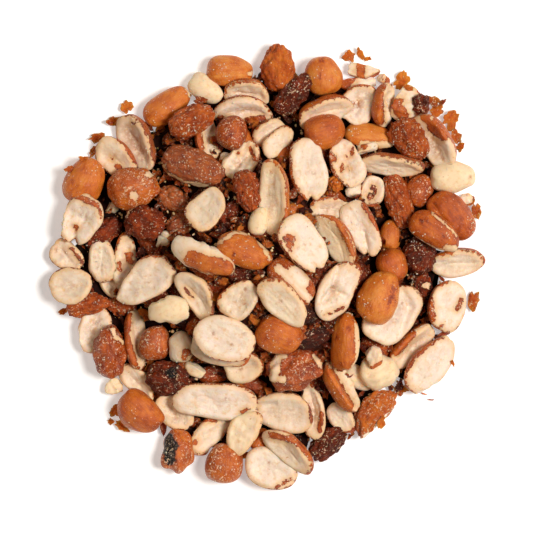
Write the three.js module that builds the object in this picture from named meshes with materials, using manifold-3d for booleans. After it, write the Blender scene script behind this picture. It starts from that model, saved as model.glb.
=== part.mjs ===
// A heap of mixed roasted peanuts as it lies loose on a flat surface: whole kernels in their
// skins, split halves, bare kernels and broken pieces, fused with the core of the heap below.
// Millimetres, +Z up. The origin is on the surface, under the middle of the heap.

import * as THREE from 'three';
import { mergeVertices } from 'three/addons/utils/BufferGeometryUtils.js';
import Module from 'manifold-3d';

// Driving dimensions of the heap
const CORE_HEIGHT = 20.5;
const CORE_RADIUS = 54;
const CORE_EDGE = 1;
const CORE_SIDES = 44;
const CORE_RINGS = 6;
const FOOT_SHARPNESS = 6;
const FOOT_FLARE = 8;

// Form of the pieces, as shares of their width, and the sides that a round one has
const HALF_DEPTH = 0.52;
const KERNEL_DEPTH = 0.86;
const POINTED_END = 0.12;
const SIDES = 8;
const RINGS = 5;

// Outline of a half's round bottom, as [share of its radius, share of its depth] from the middle
const HALF_PROFILE = [[0, -1], [0.6, -0.8], [0.93, -0.38], [1, 0], [0, 0]];

// How the pieces lie on each other
const LEVEL_SINK = [2.5, 0, 0, 0];
const GIVE = 1.2;
const EDGE_PLAY = 0.7;
const SETTLING = 0.7;
const STEEPEST_SETTLING = 0.36;
const FLAT_ROLL = 12;
const HALF_WAY = 0.5;
const LEAST_SLOPE = 1e-6;
const SAME_PLACE = 1e-4;

// The height map that the pieces are laid on
const CELL = 1;
const REACH = 70;
const MAP_SIDE = 2 * REACH / CELL + 1;

// The pieces, each as [x, y, turn, length, width, roll, level]: its middle seen from above, the
// way its long axis points, its size, its roll about that axis (a half with no roll has its cut
// face up) and the level that it lies on, the lowest first.
const SPLIT_HALVES = [
  [-56, 3, -40, 10.4, 7.8, 0, 0],
  [-35.6, 35.2, -65, 17.4, 10.2, 40, 0],
  [53.8, 1.8, 8, 15.2, 8.8, 30, 0],
  [50.2, -10.8, 78, 14.8, 11, 25, 0],
  [40.6, -21.8, 45, 16.4, 8.4, 45, 0],
  [-48.3, -17.3, 75, 14, 9.4, 0, 0],
  [-35.9, -32.6, -52, 13, 6.8, 15, 0],
  [1.5, -56.8, -22, 15.4, 11.2, 0, 0],
  [-43.4, -5, -60, 10, 5.6, 0, 0],
  [-5.2, 49.4, -8, 13.4, 8.4, 40, 1],
  [26, 45.8, 60, 12, 9.8, 0, 1],
  [32.3, 45.8, 80, 12.8, 8.2, 62, 1],
  [29.2, 37.2, -10, 14.2, 8, 140, 1],
  [47.8, 35.6, -55, 17.4, 10.4, 35, 1],
  [0.6, 38, 35, 10, 6.5, 20, 1],
  [-16.9, 35.7, 105, 12.8, 7.4, 35, 1],
  [17.8, 16.6, 5, 12, 6.5, 15, 1],
  [7.6, -4, -45, 16, 9, 160, 1],
  [-41.6, 31, -46, 13.4, 9.6, 25, 1],
  [-51.6, 13.2, 240, 15.2, 11.4, 0, 1],
  [-54.5, -5.6, 10, 11.8, 10.8, 0, 1],
  [-45.8, 1.6, 95, 12.4, 8, 0, 1],
  [-19, -8, -57, 15.4, 8.6, 25, 1],
  [-37, -20.4, 95, 17.2, 7.2, 40, 1],
  [45.6, -27.2, 52, 19, 10.4, 22, 1],
  [-6, -27.8, 20, 11.6, 8.6, 0, 1],
  [20.2, -33.8, -60, 16.6, 9.4, -60, 1],
  [13.2, -40.6, 97, 15.8, 7, -15, 1],
  [21.5, -42.5, -48, 10.2, 6.4, 10, 1],
  [-25.6, -41, -40, 12.4, 8.6, 0, 1],
  [-16, -47, 50, 14, 7.6, 15, 1],
  [-6.3, 44, -2, 17.2, 8.6, 35, 2],
  [16.2, 44.3, 22, 16.4, 9.4, 50, 2],
  [35.6, 29.2, -6, 18, 7.8, 50, 2],
  [47.6, 10.2, -33, 15.4, 9.2, 160, 2],
  [27, 10.7, -62, 16.6, 9.4, 12, 2],
  [2.8, 19.3, 93, 21.4, 9.4, -30, 2],
  [3.2, 34.9, 48, 11, 6.2, 10, 2],
  [-6.6, 29.6, 50, 12.5, 8.4, -12, 2],
  [20.2, 7.6, -60, 17.4, 8.6, 35, 2],
  [22.2, 28.6, 110, 14, 9.6, 0, 2],
  [29.6, 20.9, 75, 9.2, 7, 0, 2],
  [-5.8, 4.8, -25, 15.8, 9.6, 155, 2],
  [-39.8, 2, 85, 15.2, 6.6, 10, 2],
  [-7.3, -8.9, 45, 12.6, 9.6, 0, 2],
  [-12, -22.2, -15, 17, 11, 0, 2],
  [35, -13.2, 42, 19.6, 13, 0, 2],
  [4.9, -40.4, 172, 17, 11.4, 0, 2],
  [-6.1, -46.6, 240, 13.4, 8.6, 0, 2],
  [7, -51.3, -40, 17.4, 8.6, 40, 2],
  [11.6, 26.4, -85, 18.8, 11, 0, 3],
  [-16.2, 15.4, 52, 12.6, 10.2, 0, 3],
  [9.9, 6, -56, 17.6, 11.4, 0, 3],
  [19.5, -6.2, 62, 18, 10.6, 0, 3],
  [5, -9.4, -45, 17, 9.6, 5, 3],
  [-33, -3.8, 212, 18.8, 11.4, 0, 3],
  [-11.2, -20.4, -15, 17.6, 12.2, 0, 3],
  [21.2, -21, 88, 17, 9.6, 128, 3],
  [-14.2, -37.3, 178, 24.4, 10.8, 0, 3],
];
const WHOLE_KERNELS = [
  [-10.2, 54.9, -4, 13.8, 8.8, 0, 0],
  [43.4, 21.5, 60, 9.6, 7.6, 0, 0],
  [34.8, 8.8, 80, 9, 6.4, 0, 0],
  [5.4, 32, 60, 8, 6, 0, 0],
  [-51, 23.9, 60, 14.4, 11, 0, 0],
  [-24.7, -51.5, 80, 12.4, 8.8, 0, 0],
  [-3.6, -33.2, -20, 8, 5, 0, 0],
  [-14.8, -30.4, 0, 9, 5, 0, 0],
  [8, 15.6, 10, 6.4, 4.6, 0, 0],
  [-27.8, 45.1, 35, 15.2, 8.6, 0, 1],
  [16, 53.6, 100, 11.4, 10.6, 0, 1],
  [52.2, 14.2, -50, 16.4, 10.4, 0, 1],
  [35.4, 0.2, -60, 10.2, 8.8, 0, 1],
  [-37.2, 22, 20, 14.6, 11.6, 0, 1],
  [-44, -24, 95, 15.8, 9, 0, 1],
  [3.7, -19, -30, 13.2, 11.4, 0, 1],
  [-35.2, -40.8, -38, 14, 10.6, 0, 1],
  [-11.8, -55.2, 80, 11.6, 10.8, 0, 1],
  [-1.8, -48.8, 60, 7, 5.4, 0, 1],
  [16.4, 37.8, 10, 11.8, 10.2, 0, 2],
  [-9.4, 37.6, 70, 9.8, 9, 0, 2],
  [-31.1, -21.4, 90, 10.2, 8.8, 0, 2],
  [8.2, -28.8, 15, 16.2, 11.2, 0, 2],
  [31.7, -8.6, 70, 15.8, 11.2, 0, 3],
];
const WRINKLED_KERNELS = [
  [-45.8, 9.6, 35, 12, 7, 0, 0],
  [-50, -10.8, 10, 13, 6, 0, 0],
  [-40.6, -11.3, -10, 9, 5, 0, 0],
  [31, -22.6, -10, 9.6, 6.4, 0, 0],
  [30.7, -41.1, 52, 16.2, 8.8, 0, 0],
  [-25.5, 18.5, -30, 12, 6.5, 0, 0],
  [-10.5, 14.5, 60, 9, 5.5, 0, 0],
  [-23.5, 12, 20, 9, 6, 0, 0],
  [-33, 6, -50, 7, 4.5, 0, 0],
  [3.4, 55.7, 95, 13.6, 9.4, 0, 1],
  [40.4, 35.6, -55, 13.6, 9.4, 0, 1],
  [37.2, 18.4, -72, 16.4, 7.8, 0, 1],
  [-20.8, 40.8, 25, 14, 8.6, 0, 1],
  [19.4, 23.4, 60, 5.6, 4, 0, 1],
  [-20.2, -16.6, 60, 5, 4, 0, 1],
  [-20.3, 28, -22, 19.4, 10.4, 0, 2],
  [-5.2, 21.2, -75, 12.8, 7.6, 0, 2],
];
const BURNT_KERNELS = [
  [43.7, -5.3, 90, 8, 5.8, 0, 0],
  [17.6, -49.5, 40, 12.2, 7.2, 0, 0],
  [-6.5, -1.5, 20, 9, 5.5, 0, 0],
  [43.2, 3.2, 60, 10.4, 9.6, 0, 1],
  [-33.8, 12.2, -10, 12.6, 9.4, 0, 1],
  [-27.4, -31.4, -15, 12.6, 10, 0, 1],
  [7.8, 48.2, 48, 14, 7, 0, 2],
  [43.6, 45.6, 80, 6, 5.4, 0, 2],
];
const BARE_KERNELS = [
  [-17, 49.9, -35, 10.8, 7.4, 0, 0],
  [52.4, 25.1, 0, 13.2, 9, 0, 0],
  [26, -31.4, -45, 9, 6, 0, 0],
  [31.8, -29.5, 20, 11.2, 9.8, 0, 1],
  [-27, -12.2, 5, 12.8, 8.6, 0, 2],
  [-1.9, 12.5, 85, 8.2, 5.6, 0, 2],
  [-23.8, -22.4, 95, 9, 7.6, 0, 2],
  [-17.5, 2.8, -22, 20, 8.4, 0, 2],
];
const BROKEN_CHUNKS = [
  [26, 51.6, 5, 9.8, 4, 0, 0],
  [33, 52.8, -20, 4, 3, 0, 0],
  [-42.8, -34, -80, 5, 4.6, 0, 0],
  [26.3, 54.8, -5, 10.6, 5, 0, 1],
  [39.3, 45.6, 70, 10, 8, 0, 1],
  [56.3, 19, 30, 4, 3, 0, 1],
  [-11, 29.6, -60, 7, 4.5, 0, 1],
  [-43.4, 16.4, 40, 4.6, 3, 0, 1],
  [-19.6, -29, -30, 6.5, 4, 0, 1],
  [30.2, -25.6, 90, 6, 5, 0, 1],
  [25, 21.4, 20, 5, 3.6, 0, 2],
  [28.2, 33.2, 15, 6.2, 3.6, 0, 2],
  [-27.6, 8.8, -20, 5, 2.6, 0, 2],
  [-29, 6.8, 0, 3.6, 3.4, 0, 2],
];

const KINDS = [
  { rows: SPLIT_HALVES, depth: HALF_DEPTH, split: true, shape: halfShape },
  { rows: WHOLE_KERNELS, depth: KERNEL_DEPTH, split: false, shape: kernelShape },
  { rows: WRINKLED_KERNELS, depth: KERNEL_DEPTH, split: false, shape: kernelShape },
  { rows: BURNT_KERNELS, depth: KERNEL_DEPTH, split: false, shape: kernelShape },
  { rows: BARE_KERNELS, depth: KERNEL_DEPTH, split: false, shape: kernelShape },
  { rows: BROKEN_CHUNKS, depth: KERNEL_DEPTH, split: false, shape: chunkShape },
];

const X_AXIS = new THREE.Vector3(1, 0, 0);
const Z_AXIS = new THREE.Vector3(0, 0, 1);

const wasm = await Module();
wasm.setup();

function radians(degrees) {
  return THREE.MathUtils.degToRad(degrees);
}

// Height of the smooth core at a place, lowered for the pieces that lie half sunk in it.
function coreHeight(x, y, sink) {
  const outward = Math.min(Math.hypot(x, y) / CORE_RADIUS, 1);
  const dome = CORE_HEIGHT / 2 * (1 + Math.cos(Math.PI * outward));
  return Math.max(dome - sink, 0);
}

// How far the core's foot reaches in a direction: to the middle of the outermost piece there.
function footRadius(angle, pieces) {
  const reaches = pieces.map(({ x, y }) => {
    const turned = Math.cos(angle - Math.atan2(y, x));
    return Math.hypot(x, y) * Math.max(turned, 0) ** FOOT_SHARPNESS;
  });
  return Math.max(...reaches);
}

// The core: a dome with a low upright edge, a flat underside and a foot of uneven outline.
function coreSolid(pieces) {
  const profile = [new THREE.Vector2(0, 0)];
  profile.push(new THREE.Vector2(CORE_RADIUS, 0));
  for (let ring = CORE_RINGS; ring > 0; ring -= 1) {
    const radius = CORE_RADIUS * ring / CORE_RINGS;
    profile.push(new THREE.Vector2(radius, CORE_EDGE + coreHeight(radius, 0, 0)));
  }
  profile.push(new THREE.Vector2(0, CORE_EDGE + CORE_HEIGHT));
  const geometry = new THREE.LatheGeometry(profile, CORE_SIDES);
  geometry.rotateX(Math.PI / 2);
  const places = geometry.attributes.position;
  for (let i = 0; i < places.count; i += 1) {
    const x = places.getX(i);
    const y = places.getY(i);
    const outward = Math.hypot(x, y) / CORE_RADIUS;
    const foot = footRadius(Math.atan2(y, x), pieces) / CORE_RADIUS;
    const stretch = 1 + (foot - 1) * outward ** FOOT_FLARE;
    places.setXY(i, x * stretch, y * stretch);
  }
  return solid(geometry);
}

// A split half: a round bottom under a flat cut face. The middle of its depth is its origin.
function halfShape(length, width, depth) {
  const points = HALF_PROFILE.map(([out, up]) => new THREE.Vector2(out, up));
  const geometry = new THREE.LatheGeometry(points, SIDES);
  geometry.rotateX(Math.PI / 2);
  geometry.scale(length / 2, width / 2, depth);
  geometry.translate(0, 0, depth / 2);
  return geometry;
}

// A whole kernel: an egg with its long axis along X and its narrow end forward.
function kernelShape(length, width, depth) {
  const geometry = new THREE.SphereGeometry(1, SIDES, RINGS);
  geometry.rotateZ(-Math.PI / 2);
  const places = geometry.attributes.position;
  for (let i = 0; i < places.count; i += 1) {
    const narrowing = 1 - POINTED_END * places.getX(i);
    places.setY(i, places.getY(i) * narrowing);
    places.setZ(i, places.getZ(i) * narrowing);
  }
  geometry.scale(length / 2, width / 2, depth / 2);
  return geometry;
}

// A broken chunk: a lump with flat broken sides.
function chunkShape(length, width, depth) {
  const geometry = new THREE.DodecahedronGeometry(1, 0);
  geometry.scale(length / 2, width / 2, depth / 2);
  return geometry;
}

// Turns a closed geometry into a solid, whichever way its triangles go round.
function solid(geometry) {
  geometry.deleteAttribute('normal');
  geometry.deleteAttribute('uv');
  const merged = mergeVertices(geometry, SAME_PLACE);
  const vertProperties = new Float32Array(merged.attributes.position.array);
  const triVerts = new Uint32Array(merged.index.array);
  return new wasm.Manifold(new wasm.Mesh({ numProp: 3, vertProperties, triVerts }));
}

// The piece's own axes after its turns, each with half the piece's size along it.
function ownAxes(piece, play) {
  const sizes = [piece.length / 2, piece.width / 2, piece.split ? piece.depth : piece.depth / 2];
  return sizes.map((size, i) => {
    const axis = new THREE.Vector3().setComponent(i, 1).applyQuaternion(piece.turned);
    return { axis, size: size - play };
  });
}

// Where an upright line at (u, v) from the piece's origin goes into the piece and comes out.
function columnThrough(piece, axes, u, v) {
  const lift = piece.split ? piece.depth / 2 : 0;
  const face = axes[2].axis;
  const du = u - lift * face.x;
  const dv = v - lift * face.y;
  let a = 0;
  let b = 0;
  let c = -1;
  for (const { axis, size } of axes) {
    const along = (du * axis.x + dv * axis.y) / size;
    const rise = axis.z / size;
    a += rise * rise;
    b += rise * along;
    c += along * along;
  }
  const root = b * b - a * c;
  if (root <= 0) {
    return null;
  }
  let low = (-b - Math.sqrt(root)) / a;
  let high = (-b + Math.sqrt(root)) / a;
  if (piece.split) {
    const cut = -(du * face.x + dv * face.y) / face.z;
    if (face.z > 0) {
      high = Math.min(high, cut);
    } else {
      low = Math.max(low, cut);
    }
  }
  const middle = lift * face.z;
  return low < high ? { low: low + middle, high: high + middle } : null;
}

// Calls what is given for every cell of the height map near a piece.
function overCells(piece, visit) {
  const reach = Math.hypot(piece.length, piece.width) / 2 + piece.depth / 2;
  const first = (middle) => Math.ceil((middle - reach + REACH) / CELL);
  const last = (middle) => Math.floor((middle + reach + REACH) / CELL);
  for (let row = first(piece.y); row <= last(piece.y); row += 1) {
    for (let column = first(piece.x); column <= last(piece.x); column += 1) {
      const x = column * CELL - REACH;
      const y = row * CELL - REACH;
      visit(row * MAP_SIDE + column, x, y);
    }
  }
}

// Height of what lies at a cell already.
function lyingAt(map, cell, x, y, sink) {
  return Math.max(map[cell], coreHeight(x, y, sink));
}

// The slope of what a flat piece lies on, along and across it, which it leans with.
function settledUp(piece, map, sink) {
  const turn = radians(piece.turn);
  const sums = { height: 0, along: 0, across: 0, alongs: 0, acrosses: 0 };
  const seen = [];
  overCells(piece, (cell, x, y) => {
    const along = (x - piece.x) * Math.cos(turn) + (y - piece.y) * Math.sin(turn);
    const across = (y - piece.y) * Math.cos(turn) - (x - piece.x) * Math.sin(turn);
    if (Math.hypot(along / piece.length, across / piece.width) < HALF_WAY) {
      seen.push({ along, across, height: lyingAt(map, cell, x, y, sink) });
    }
  });
  for (const { height } of seen) {
    sums.height += height / seen.length;
  }
  for (const { along, across, height } of seen) {
    sums.along += along * (height - sums.height);
    sums.across += across * (height - sums.height);
    sums.alongs += along * along;
    sums.acrosses += across * across;
  }
  const alongSlope = SETTLING * sums.along / sums.alongs;
  const acrossSlope = SETTLING * sums.across / sums.acrosses;
  const steepness = Math.hypot(alongSlope, acrossSlope);
  const share = Math.min(1, STEEPEST_SETTLING / Math.max(steepness, LEAST_SLOPE));
  const slopeX = share * (alongSlope * Math.cos(turn) - acrossSlope * Math.sin(turn));
  const slopeY = share * (alongSlope * Math.sin(turn) + acrossSlope * Math.cos(turn));
  return new THREE.Vector3(-slopeX, -slopeY, 1).normalize();
}

// Lays a piece down on what is there, and adds its top to the height map.
function lay(piece, map) {
  const sink = LEVEL_SINK[piece.level];
  const turn = new THREE.Quaternion().setFromAxisAngle(Z_AXIS, radians(piece.turn));
  const roll = new THREE.Quaternion().setFromAxisAngle(X_AXIS, radians(piece.roll));
  piece.turned = turn.multiply(roll);
  if (Math.abs(Math.sin(radians(piece.roll))) < Math.sin(radians(FLAT_ROLL))) {
    const lean = new THREE.Quaternion().setFromUnitVectors(Z_AXIS, settledUp(piece, map, sink));
    piece.turned.premultiply(lean);
  }
  const tight = ownAxes(piece, EDGE_PLAY);
  const full = ownAxes(piece, 0);
  let resting = 0;
  let lowest = 0;
  overCells(piece, (cell, x, y) => {
    const inside = columnThrough(piece, tight, x - piece.x, y - piece.y);
    const whole = columnThrough(piece, full, x - piece.x, y - piece.y);
    if (inside) {
      resting = Math.max(resting, lyingAt(map, cell, x, y, sink) - inside.low);
    }
    if (whole) {
      lowest = Math.min(lowest, whole.low);
    }
  });
  piece.z = Math.max(resting - GIVE, -lowest);
  overCells(piece, (cell, x, y) => {
    const whole = columnThrough(piece, full, x - piece.x, y - piece.y);
    if (whole) {
      map[cell] = Math.max(map[cell], piece.z + whole.high);
    }
  });
}

// All pieces in the order that they are laid, each where it comes to rest.
function laidPieces() {
  const pieces = KINDS.flatMap(({ rows, depth, split, shape }) => rows.map((row) => {
    const [x, y, turn, length, width, roll, level] = row;
    return { x, y, turn, length, width, roll, level, depth: depth * width, split, shape };
  }));
  pieces.sort((one, other) => one.level - other.level);
  const map = new Float64Array(MAP_SIDE * MAP_SIDE);
  for (const piece of pieces) {
    lay(piece, map);
  }
  return pieces;
}

function pieceSolid(piece) {
  const geometry = piece.shape(piece.length, piece.width, piece.depth);
  geometry.applyQuaternion(piece.turned);
  geometry.translate(piece.x, piece.y, piece.z);
  return solid(geometry);
}

// Everything below the surface that the heap lies on.
function belowSurface() {
  const geometry = new THREE.BoxGeometry(4 * REACH, 4 * REACH, REACH);
  geometry.translate(0, 0, -REACH / 2);
  return solid(geometry);
}

// Joins the pieces with the core, cut flat at the surface. Loose scraps and sealed hollows go.
function heapSolid() {
  const pieces = laidPieces();
  let heap = coreSolid(pieces);
  for (const piece of pieces) {
    heap = heap.add(pieceSolid(piece));
  }
  const parts = heap.subtract(belowSurface()).decompose();
  parts.sort((one, other) => other.volume() - one.volume());
  return parts[0];
}

function heapGeometry() {
  const mesh = heapSolid().getMesh();
  const geometry = new THREE.BufferGeometry();
  geometry.setAttribute('position', new THREE.BufferAttribute(mesh.vertProperties, 3));
  geometry.setIndex(new THREE.BufferAttribute(mesh.triVerts, 1));
  geometry.computeVertexNormals();
  return geometry;
}

const nutMaterial = new THREE.MeshStandardMaterial({ color: 0xc98a5a, roughness: 0.55, metalness: 0 });

const heap = new THREE.Group();
const peanutHeap = new THREE.Mesh(heapGeometry(), nutMaterial);
peanutHeap.name = 'peanut_heap';
heap.add(peanutHeap);

export default heap;
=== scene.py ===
"""A heap of mixed roasted peanuts, lying loose on a flat surface.

Sizes are in millimetres and become metres when a mesh is written. Every piece of the heap is laid
on what is below it by the same rule as in the solid that this scene dresses.
"""

import math

import bmesh
import bpy
import numpy as np
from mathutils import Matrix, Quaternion, Vector


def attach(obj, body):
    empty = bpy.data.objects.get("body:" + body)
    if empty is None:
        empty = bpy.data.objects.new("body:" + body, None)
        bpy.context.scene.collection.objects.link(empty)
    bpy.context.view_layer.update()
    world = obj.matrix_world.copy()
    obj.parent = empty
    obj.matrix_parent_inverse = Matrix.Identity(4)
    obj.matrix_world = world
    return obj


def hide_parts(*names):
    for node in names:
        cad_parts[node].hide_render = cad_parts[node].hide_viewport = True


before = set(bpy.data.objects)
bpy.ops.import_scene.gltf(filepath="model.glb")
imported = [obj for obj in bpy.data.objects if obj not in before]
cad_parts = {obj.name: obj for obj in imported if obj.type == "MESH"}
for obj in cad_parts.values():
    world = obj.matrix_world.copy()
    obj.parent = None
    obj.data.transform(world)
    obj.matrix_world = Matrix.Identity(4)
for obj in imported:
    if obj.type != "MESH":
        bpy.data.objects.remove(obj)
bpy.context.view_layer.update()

MM = 0.001

# Driving dimensions of the heap, as in the solid
CORE_HEIGHT = 20.5
CORE_RADIUS = 54
HALF_DEPTH = 0.52
KERNEL_DEPTH = 0.86
POINTED_END = 0.12

# How the pieces lie on each other, as in the solid
LEVEL_SINK = [2.5, 0, 0, 0]
GIVE = 1.2
EDGE_PLAY = 0.7
SETTLING = 0.7
STEEPEST_SETTLING = 0.36
FLAT_ROLL = 12

# The height map that the pieces are laid on
CELL = 1
REACH = 70

# The pieces that show from above, each as [x, y, turn, length, width, roll, level, look]: its
# middle, the way its long axis points, its size, its roll about that axis (a half with no roll
# has its cut face up), the level that it lies on, the lowest first, and its roast.
SPLIT_HALVES = [
    [-56, 3, -40, 10.4, 7.8, 0, 0, "grey"],
    [-35.6, 35.2, -65, 17.4, 10.2, 40, 0, "grey"],
    [53.8, 1.8, 8, 15.2, 8.8, 30, 0, "cream"],
    [50.2, -10.8, 78, 14.8, 11, 25, 0, "pink"],
    [40.6, -21.8, 45, 16.4, 8.4, 45, 0, "cream"],
    [-48.3, -17.3, 75, 14, 9.4, 0, 0, "pink"],
    [-35.9, -32.6, -52, 13, 6.8, 15, 0, "cream"],
    [1.5, -56.8, -22, 15.4, 11.2, 0, 0, "pink"],
    [-43.4, -5, -60, 10, 5.6, 0, 0, "cream"],
    [-5.2, 49.4, -8, 13.4, 8.4, 40, 1, "cream"],
    [26, 45.8, 60, 12, 9.8, 0, 1, "pink"],
    [32.3, 45.8, 80, 12.8, 8.2, 62, 1, "cream"],
    [29.2, 37.2, -10, 14.2, 8, 140, 1, "yellow"],
    [47.8, 35.6, -55, 17.4, 10.4, 35, 1, "cream"],
    [0.6, 38, 35, 10, 6.5, 20, 1, "cream"],
    [-16.9, 35.7, 105, 12.8, 7.4, 35, 1, "cream"],
    [17.8, 16.6, 5, 12, 6.5, 15, 1, "cream"],
    [7.6, -4, -45, 16, 9, 160, 1, "pink"],
    [-41.6, 31, -46, 13.4, 9.6, 25, 1, "cream"],
    [-51.6, 13.2, 240, 15.2, 11.4, 0, 1, "pink"],
    [-54.5, -5.6, 10, 11.8, 10.8, 0, 1, "grey"],
    [-45.8, 1.6, 95, 12.4, 8, 0, 1, "cream"],
    [-19, -8, -57, 15.4, 8.6, 25, 1, "grey"],
    [-37, -20.4, 95, 17.2, 7.2, 40, 1, "cream"],
    [45.6, -27.2, 52, 19, 10.4, 22, 1, "pink"],
    [-6, -27.8, 20, 11.6, 8.6, 0, 1, "tan"],
    [20.2, -33.8, -60, 16.6, 9.4, -60, 1, "cream"],
    [13.2, -40.6, 97, 15.8, 7, -15, 1, "cream"],
    [21.5, -42.5, -48, 10.2, 6.4, 10, 1, "cream"],
    [-25.6, -41, -40, 12.4, 8.6, 0, 1, "cream"],
    [-16, -47, 50, 14, 7.6, 15, 1, "cream"],
    [-6.3, 44, -2, 17.2, 8.6, 35, 2, "pink"],
    [16.2, 44.3, 22, 16.4, 9.4, 50, 2, "cream"],
    [35.6, 29.2, -6, 18, 7.8, 50, 2, "grey"],
    [47.6, 10.2, -33, 15.4, 9.2, 160, 2, "brown"],
    [27, 10.7, -62, 16.6, 9.4, 12, 2, "pink"],
    [2.8, 19.3, 93, 21.4, 9.4, -30, 2, "tan"],
    [3.2, 34.9, 48, 11, 6.2, 10, 2, "cream"],
    [-6.6, 29.6, 50, 12.5, 8.4, -12, 2, "cream"],
    [20.2, 7.6, -60, 17.4, 8.6, 35, 2, "tan"],
    [22.2, 28.6, 110, 14, 9.6, 0, 2, "pink"],
    [29.6, 20.9, 75, 9.2, 7, 0, 2, "pink"],
    [-5.8, 4.8, -25, 15.8, 9.6, 155, 2, "orange"],
    [-39.8, 2, 85, 15.2, 6.6, 10, 2, "pink"],
    [-7.3, -8.9, 45, 12.6, 9.6, 0, 2, "cream"],
    [-12, -22.2, -15, 17, 11, 0, 2, "cream"],
    [35, -13.2, 42, 19.6, 13, 0, 2, "pink"],
    [4.9, -40.4, 172, 17, 11.4, 0, 2, "grey"],
    [-6.1, -46.6, 240, 13.4, 8.6, 0, 2, "tan"],
    [7, -51.3, -40, 17.4, 8.6, 40, 2, "cream"],
    [11.6, 26.4, -85, 18.8, 11, 0, 3, "pink"],
    [-16.2, 15.4, 52, 12.6, 10.2, 0, 3, "grey"],
    [9.9, 6, -56, 17.6, 11.4, 0, 3, "pink"],
    [19.5, -6.2, 62, 18, 10.6, 0, 3, "pink"],
    [5, -9.4, -45, 17, 9.6, 5, 3, "cream"],
    [-33, -3.8, 212, 18.8, 11.4, 0, 3, "pink"],
    [-11.2, -20.4, -15, 17.6, 12.2, 0, 3, "pink"],
    [21.2, -21, 88, 17, 9.6, 128, 3, "orange"],
    [-14.2, -37.3, 178, 24.4, 10.8, 0, 3, "pink"],
]
WHOLE_KERNELS = [
    [-10.2, 54.9, -4, 13.8, 8.8, 0, 0, "orange"],
    [43.4, 21.5, 60, 9.6, 7.6, 0, 0, "pink"],
    [34.8, 8.8, 80, 9, 6.4, 0, 0, "orange"],
    [5.4, 32, 60, 8, 6, 0, 0, "brown"],
    [-51, 23.9, 60, 14.4, 11, 0, 0, "orange"],
    [-24.7, -51.5, 80, 12.4, 8.8, 0, 0, "pink"],
    [-3.6, -33.2, -20, 8, 5, 0, 0, "red"],
    [-14.8, -30.4, 0, 9, 5, 0, 0, "red"],
    [8, 15.6, 10, 6.4, 4.6, 0, 0, "orange"],
    [-27.8, 45.1, 35, 15.2, 8.6, 0, 1, "orange"],
    [16, 53.6, 100, 11.4, 10.6, 0, 1, "orange"],
    [52.2, 14.2, -50, 16.4, 10.4, 0, 1, "brown"],
    [35.4, 0.2, -60, 10.2, 8.8, 0, 1, "brown"],
    [-37.2, 22, 20, 14.6, 11.6, 0, 1, "pink"],
    [-44, -24, 95, 15.8, 9, 0, 1, "red"],
    [3.7, -19, -30, 13.2, 11.4, 0, 1, "brown"],
    [-35.2, -40.8, -38, 14, 10.6, 0, 1, "brown"],
    [-11.8, -55.2, 80, 11.6, 10.8, 0, 1, "pink"],
    [-1.8, -48.8, 60, 7, 5.4, 0, 1, "brown"],
    [16.4, 37.8, 10, 11.8, 10.2, 0, 2, "brown"],
    [-9.4, 37.6, 70, 9.8, 9, 0, 2, "red"],
    [-31.1, -21.4, 90, 10.2, 8.8, 0, 2, "pink"],
    [8.2, -28.8, 15, 16.2, 11.2, 0, 2, "red"],
    [31.7, -8.6, 70, 15.8, 11.2, 0, 3, "orange"],
]
WRINKLED_KERNELS = [
    [-45.8, 9.6, 35, 12, 7, 0, 0, "deep"],
    [-50, -10.8, 10, 13, 6, 0, 0, "red"],
    [-40.6, -11.3, -10, 9, 5, 0, 0, "red"],
    [31, -22.6, -10, 9.6, 6.4, 0, 0, "red"],
    [30.7, -41.1, 52, 16.2, 8.8, 0, 0, "pink"],
    [-25.5, 18.5, -30, 12, 6.5, 0, 0, "dull"],
    [-10.5, 14.5, 60, 9, 5.5, 0, 0, "dark"],
    [-23.5, 12, 20, 9, 6, 0, 0, "dull"],
    [-33, 6, -50, 7, 4.5, 0, 0, "red"],
    [3.4, 55.7, 95, 13.6, 9.4, 0, 1, "brown"],
    [40.4, 35.6, -55, 13.6, 9.4, 0, 1, "red"],
    [37.2, 18.4, -72, 16.4, 7.8, 0, 1, "red"],
    [-20.8, 40.8, 25, 14, 8.6, 0, 1, "red"],
    [19.4, 23.4, 60, 5.6, 4, 0, 1, "orange"],
    [-20.2, -16.6, 60, 5, 4, 0, 1, "red"],
    [-20.3, 28, -22, 19.4, 10.4, 0, 2, "dull"],
    [-5.2, 21.2, -75, 12.8, 7.6, 0, 2, "red"],
]
BURNT_KERNELS = [
    [43.7, -5.3, 90, 8, 5.8, 0, 0, "deep"],
    [17.6, -49.5, 40, 12.2, 7.2, 0, 0, "dark"],
    [-6.5, -1.5, 20, 9, 5.5, 0, 0, "dark"],
    [43.2, 3.2, 60, 10.4, 9.6, 0, 1, "dark"],
    [-33.8, 12.2, -10, 12.6, 9.4, 0, 1, "deep"],
    [-27.4, -31.4, -15, 12.6, 10, 0, 1, "dark"],
    [7.8, 48.2, 48, 14, 7, 0, 2, "dark"],
    [43.6, 45.6, 80, 6, 5.4, 0, 2, "dark"],
]
BARE_KERNELS = [
    [-17, 49.9, -35, 10.8, 7.4, 0, 0, "yellow"],
    [52.4, 25.1, 0, 13.2, 9, 0, 0, "yellow"],
    [26, -31.4, -45, 9, 6, 0, 0, "tan"],
    [31.8, -29.5, 20, 11.2, 9.8, 0, 1, "yellow"],
    [-27, -12.2, 5, 12.8, 8.6, 0, 2, "yellow"],
    [-1.9, 12.5, 85, 8.2, 5.6, 0, 2, "yellow"],
    [-23.8, -22.4, 95, 9, 7.6, 0, 2, "cream"],
    [-17.5, 2.8, -22, 20, 8.4, 0, 2, "cream"],
]
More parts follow.
